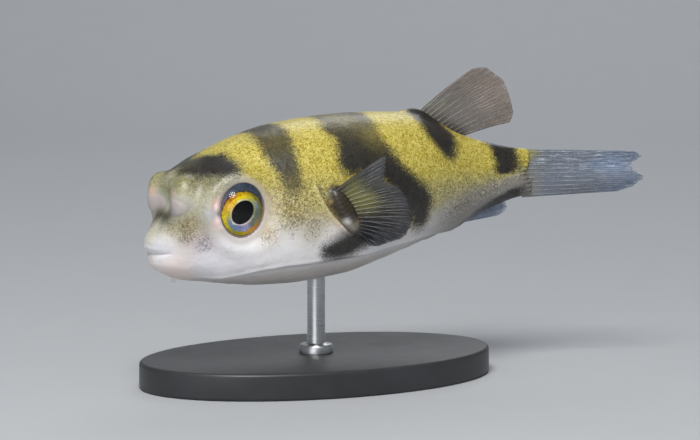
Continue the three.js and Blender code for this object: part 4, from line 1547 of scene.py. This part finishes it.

# %% [markdown]
# ## The fins' colours
# The tail fin is a pale grey blue, the dorsal fin brownish and dark at its foot, and the pectoral
# fins are grey over navy. One shader, with colours for each fin, reads where on the fan a point is
# and lays the rays over the membrane: pale, finely jointed rays over a darker sheet that lets some
# light through and frays at its edge. Pale dashes along the streaks are painted highlights on the
# ray segments.


# %% Fin material
def make_fin_material(name, membrane, ray_colour, ray_strength, clear, highlight_dashes=0.2, patches=()):
    """Membrane colours from root to tip; patches are (share, reach, radius, colour, strength)."""
    material, tree, output = new_material(name)
    root, middle, tip = membrane
    place = node(tree, "SeparateXYZ", {"Vector": named_value(tree, "fin_place", "Vector")}).outputs
    flat_place = node(tree, "CombineXYZ", {"X": place["X"], "Y": place["Y"]}).outputs[0]
    ray = named_value(tree, "ray")
    cloud = grain_of(tree, millimetres(tree), 1.6, 3.0)
    fine = grain_of(tree, millimetres(tree), 0.22, 3.0)
    reach = math_node(tree, "ADD", place["Y"], centred(tree, cloud, 0.3))
    colour = mixed(tree, between(tree, reach, 0.02, 0.3), root, middle)
    colour = mixed(tree, between(tree, reach, 0.4, 0.95), colour, tip)
    for share, far, radius, dab, strength in patches:
        ends = {0: flat_place, 1: (share, far, 0)}
        apart = node(tree, "VectorMath", ends, operation="DISTANCE").outputs["Value"]
        colour = mixed(tree, between(tree, apart, radius, radius * 0.2, 0.0, strength), colour, dab)

    across = math_node(tree, "MULTIPLY", place["X"], 46.0)
    along = math_node(tree, "MULTIPLY", place["Z"], 0.6)
    streak_place = node(tree, "CombineXYZ", {"X": across, "Y": along}).outputs[0]
    streak = grain_of(tree, streak_place, 1.0, 3.0, 0.6)
    jointed = between(tree, streak, 0.36, 0.6, 0.3, 1.0)
    ray_amount = math_node(tree, "MULTIPLY", between(tree, ray, 0.25, 0.8), jointed)
    ray_amount = math_node(tree, "MULTIPLY", ray_amount, ray_strength)
    # painted highlights: pale dashes along the streaks, on the ray segments
    highlight_dash_share = between(tree, place["X"], 0.75, 0.2, 0.12, highlight_dashes)
    highlight_dash = math_node(tree, "MULTIPLY", between(tree, streak, 0.54, 0.66), highlight_dash_share)
    colour = mixed(tree, math_node(tree, "MAXIMUM", ray_amount, highlight_dash), colour, ray_colour)
    mottle = between(tree, fine, 0.3, 0.7, 0.72, 1.15, "LINEAR")
    colour = node(tree, "HueSaturation", {"Color": colour, "Value": mottle}).outputs["Color"]

    film = node(tree, "BsdfPrincipled", {
        "Base Color": colour,
        "Roughness": between(tree, fine, 0.3, 0.7, 0.32, 0.48, "LINEAR"),
        "Coat Weight": 0.15,
        "Coat Roughness": 0.2,
        "Normal": bumped(tree, fine, 0.02, 0.4),
    })
    glow = node(tree, "BsdfTranslucent", {"Color": colour})
    lit = node(tree, "MixShader", {0: 0.35, 1: film.outputs[0], 2: glow.outputs[0]})
    see_through = between(tree, ray, 0.1, 0.7, clear, 0.02)
    see_through = math_node(tree, "MULTIPLY", see_through, between(tree, place["Y"], 0.0, 0.35))
    frayed = math_node(tree, "ADD", place["Y"], centred(tree, streak, 0.35))
    see_through = math_node(tree, "MAXIMUM", see_through, between(tree, frayed, 0.84, 1.08, 0.0, 0.75))
    nothing = node(tree, "BsdfTransparent")
    shader = node(tree, "MixShader", {0: see_through, 1: lit.outputs[0], 2: nothing.outputs[0]})
    tree.links.new(shader.outputs[0], output.inputs["Surface"])
    return material


# %% Fin finishes
FIN_FINISHES = {
    "dorsal": make_fin_material(
        "dorsal_membrane",
        membrane=(screen(66, 62, 54), screen(124, 114, 108), screen(142, 124, 114)),
        ray_colour=screen(208, 202, 188), ray_strength=0.6, clear=0.42, highlight_dashes=0.1,
        patches=((0.8, 0.12, 0.3, screen(46, 42, 36), 0.7), (0.15, 0.3, 0.25, screen(140, 142, 116), 0.4)),
    ),
    "anal": make_fin_material(
        "anal_membrane",
        membrane=(screen(206, 208, 212), screen(190, 200, 216), screen(172, 184, 206)),
        ray_colour=screen(232, 238, 246), ray_strength=0.6, clear=0.2,
    ),
    "caudal": make_fin_material(
        "caudal_membrane",
        membrane=(screen(148, 148, 142), screen(134, 142, 157), screen(116, 131, 155)),
        ray_colour=screen(230, 236, 246), ray_strength=0.5, clear=0.24, highlight_dashes=1.0,
        patches=((0.08, 0.0, 0.22, screen(176, 166, 62), 0.9), (0.3, 0.8, 0.3, screen(150, 174, 208), 0.6),
                 (0.9, 0.5, 0.4, screen(104, 108, 118), 0.6)),
    ),
    "pectoral": make_fin_material(
        "pectoral_membrane",
        membrane=(screen(84, 72, 62), screen(46, 48, 54), screen(40, 44, 54)),
        ray_colour=screen(156, 158, 164), ray_strength=0.5, clear=0.32, highlight_dashes=0.3,
        patches=((0.0, 0.85, 0.45, screen(104, 104, 104), 0.8), (0.32, 0.32, 0.4, screen(160, 158, 100), 0.9),
                 (0.85, 0.6, 0.5, screen(20, 22, 34), 0.85)),
    ),
}
for name, (kind, side) in FINS.items():
    fins[name].data.materials.append(FIN_FINISHES[kind])
print("fin finishes:", sorted({fin.data.materials[0].name for fin in fins.values()}))

# %% [markdown]
# ## The stand
# The fish is held by one thin steel rod on a low oval base, as a museum would show it. The base
# is a circle filled and extruded, stretched to an oval, with a rounded edge from the bevel
# operator. The rod is a spun profile with a small collar where it leaves the base.

# %% Stand
BASE_LENGTH, BASE_WIDTH, BASE_HEIGHT = 42, 27, 3
BASE_EDGE = 0.4
ROD_RADIUS = 1.0
ROD_TOP = 13.9


def make_base():
    """A disc of height 1 stretched to the oval, with both its rims rounded."""
    bm = bmesh.new()
    bmesh.ops.create_circle(bm, cap_ends=True, segments=192, radius=0.5)
    raised = bmesh.ops.extrude_face_region(bm, geom=list(bm.faces))["geom"]
    top = [part for part in raised if isinstance(part, bmesh.types.BMVert)]
    bmesh.ops.translate(bm, vec=(0, 0, 1), verts=top)
    size = Vector((BASE_LENGTH, BASE_WIDTH, BASE_HEIGHT)) * MM
    bmesh.ops.scale(bm, vec=size, verts=bm.verts)
    rims = [edge for edge in bm.edges if len({round(vert.co.z, 6) for vert in edge.verts}) == 1]
    bmesh.ops.bevel(
        bm, geom=rims, offset=BASE_EDGE * MM, offset_type="OFFSET", segments=5, profile=0.5,
        affect="EDGES", material=-1,
    )
    bmesh.ops.recalc_face_normals(bm, faces=bm.faces)
    mesh = bpy.data.meshes.new("stand_base_body")
    bm.to_mesh(mesh)
    bm.free()
    return new_object("stand_base_body", mesh, replaces=["stand_base"])


def make_rod():
    """Spins the rod's profile, radius and height in millimetres, about its own axis."""
    profile = [
        (0, 2.4), (1.0, 2.4), (1.9, 3.02), (1.9, 3.75), (1.75, 3.95), (1.25, 4.0), (1.05, 4.12),
        (ROD_RADIUS, 4.3), (ROD_RADIUS, ROD_TOP - 0.3), (0.7, ROD_TOP), (0, ROD_TOP),
    ]
    bm = bmesh.new()
    corners = [bm.verts.new(Vector((radius, 0, height)) * MM) for radius, height in profile]
    edges = [bm.edges.new(pair) for pair in zip(corners, corners[1:])]
    bmesh.ops.spin(
        bm, geom=corners + edges, cent=(0, 0, 0), axis=(0, 0, 1), angle=2 * math.pi, steps=96, use_merge=True
    )
    bmesh.ops.remove_doubles(bm, verts=bm.verts, dist=1e-7)
    bmesh.ops.recalc_face_normals(bm, faces=bm.faces)
    mesh = bpy.data.meshes.new("stand_rod_body")
    bm.to_mesh(mesh)
    bm.free()
    return new_object("stand_rod_body", mesh, replaces=["stand_rod"])


SHARP_FROM = math.radians(40)  # edges sharper than this stay sharp under smooth shading
base, rod = make_base(), make_rod()
for piece in (base, rod):
    piece.data.set_sharp_from_angle(angle=SHARP_FROM)
print("stand, mm:", BASE_LENGTH, "by", BASE_WIDTH, "by", BASE_HEIGHT)

# %% [markdown]
# ## The stand's finish
# The base is satin black paint with a faint orange-peel surface. The rod is ground steel, with
# fine rings left by turning, which are noise squeezed along its axis.


# %% Stand materials
def make_paint():
    material, tree, output = new_material("satin_paint")
    place = millimetres(tree)
    peel = grain_of(tree, place, 0.8, 3.0)
    dust = grain_of(tree, place, 5.0, 4.0)
    colour = mixed(tree, between(tree, dust, 0.35, 0.7), screen(44, 45, 47), screen(52, 53, 56))
    shader = node(tree, "BsdfPrincipled", {
        "Base Color": colour,
        "Roughness": between(tree, dust, 0.3, 0.7, 0.38, 0.5, "LINEAR"),
        "Normal": bumped(tree, peel, 0.03, 0.35),
    })
    tree.links.new(shader.outputs[0], output.inputs["Surface"])
    return material


def make_steel():
    material, tree, output = new_material("turned_steel")
    squeeze = {"Vector": millimetres(tree), "Scale": (0.3, 0.3, 14.0)}
    squeezed = node(tree, "Mapping", squeeze).outputs["Vector"]
    rings = grain_of(tree, squeezed, 1.0, 2.0)
    colour = mixed(tree, between(tree, rings, 0.3, 0.7), screen(176, 178, 180), screen(206, 207, 208))
    shader = node(tree, "BsdfPrincipled", {
        "Base Color": colour,
        "Metallic": 1.0,
        "Roughness": between(tree, rings, 0.3, 0.7, 0.26, 0.4, "LINEAR"),
        "Normal": bumped(tree, rings, 0.01, 0.3),
    })
    tree.links.new(shader.outputs[0], output.inputs["Surface"])
    return material


base.data.materials.append(make_paint())
rod.data.materials.append(make_steel())
print("stand finishes:", base.data.materials[0].name, rod.data.materials[0].name)

# %% [markdown]
# ## Floor, backdrop and light
# A pale floor curves up into a pale wall, so that no line crosses behind the fish. The light
# comes mostly from above, as over an aquarium, from one large soft lamp, with a weak fill from
# the camera's side and a low rim light from behind for the edges of the fins. The backdrop shows
# its front only, so that a camera behind it still sees the fish.

# %% Floor
FLOOR_HALF = 900
FLOOR_FRONT = -600
WALL_START = 260
WALL_BEND = 200
WALL_HEIGHT = 700


def make_floor():
    """A strip that runs back along +Y and bends up, extruded from one line of edges."""
    line = [(FLOOR_FRONT, 0), (WALL_START, 0)]
    line += [
        (WALL_START + WALL_BEND * math.sin(turn), WALL_BEND * (1 - math.cos(turn)))
        for turn in np.radians(np.arange(6, 91, 6))
    ]
    line.append((WALL_START + WALL_BEND, WALL_HEIGHT))
    bm = bmesh.new()
    left = [bm.verts.new(Vector((-FLOOR_HALF, back, height)) * MM) for back, height in line]
    edges = [bm.edges.new(pair) for pair in zip(left, left[1:])]
    moved = bmesh.ops.extrude_edge_only(bm, edges=edges)["geom"]
    new_verts = [part for part in moved if isinstance(part, bmesh.types.BMVert)]
    bmesh.ops.translate(bm, vec=(2 * FLOOR_HALF * MM, 0, 0), verts=new_verts)
    bmesh.ops.rotate(bm, cent=(0, 0, 0), matrix=Matrix.Rotation(CAMERA_AZIMUTH, 3, "Z"), verts=bm.verts)
    bmesh.ops.recalc_face_normals(bm, faces=bm.faces)
    if sum(face.normal.z for face in bm.faces) < 0:
        bmesh.ops.reverse_faces(bm, faces=bm.faces)
    mesh = bpy.data.meshes.new("floor")
    bm.to_mesh(mesh)
    bm.free()
    mesh.polygons.foreach_set("use_smooth", [True] * len(mesh.polygons))
    floor = bpy.data.objects.new("floor", mesh)
    bpy.context.scene.collection.objects.link(floor)
    floor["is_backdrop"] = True
    return floor


def make_floor_material():
    material, tree, output = new_material("pale_paper")
    fibre = grain_of(tree, millimetres(tree), 6.0, 4.0)
    colour = mixed(tree, between(tree, fibre, 0.3, 0.7), screen(178, 181, 185), screen(179, 182, 186))
    paper = node(tree, "BsdfPrincipled", {"Base Color": colour, "Roughness": 0.9})
    behind = node(tree, "NewGeometry").outputs["Backfacing"]
    nothing = node(tree, "BsdfTransparent")
    shader = node(tree, "MixShader", {0: behind, 1: paper.outputs[0], 2: nothing.outputs[0]})
    tree.links.new(shader.outputs[0], output.inputs["Surface"])
    return material


floor = make_floor()
floor.data.materials.append(make_floor_material())
print("floor faces:", len(floor.data.polygons))

# %% Lamps and room light
LAMPS = [  # name, degrees round and up, distance, size, watts, colour
    ("key", -38, 52, 420, 200, 1.72, (1.0, 0.98, 0.95)),
    ("fill", -50, 6, 520, 360, 0.62, (0.95, 0.97, 1.0)),
    ("rim", 140, 38, 460, 240, 0.35, (0.96, 0.98, 1.0)),
]


def make_lamp(name, azimuth, elevation, distance, size, power, colour):
    light = bpy.data.lights.new(name, "AREA")
    light.shape = "DISK"
    light.size = size * MM
    light.energy = power
    light.color = colour
    lamp = bpy.data.objects.new(name, light)
    away = direction_to(math.radians(azimuth), math.radians(elevation))
    lamp.location = LOOK_AT + away * distance * MM
    lamp.rotation_mode = "QUATERNION"
    lamp.rotation_quaternion = away.to_track_quat("Z", "Y")
    bpy.context.scene.collection.objects.link(lamp)
    lamp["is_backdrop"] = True


for lamp_values in LAMPS:
    make_lamp(*lamp_values)
world = bpy.data.worlds.new("soft_room")
world.use_nodes = True
room = world.node_tree.nodes["Background"]
room.inputs["Color"].default_value = (0.82, 0.87, 0.93, 1)
room.inputs["Strength"].default_value = 0.26
bpy.context.scene.world = world
bpy.context.scene.view_settings.view_transform = "Standard"

# %% [markdown]
# ## Measuring and finishing
# The dressed model should stay as large as the CAD model, so both boxes are printed.

# %% Size and finish
shown_low, shown_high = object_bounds()
boxes = {"cad": [list(cad_low), list(cad_high)], "visual": [list(shown_low), list(shown_high)]}
for name, (low, high) in boxes.items():
    print(name, "box, mm:", [round(value / MM, 2) for value in (*low, *high)])
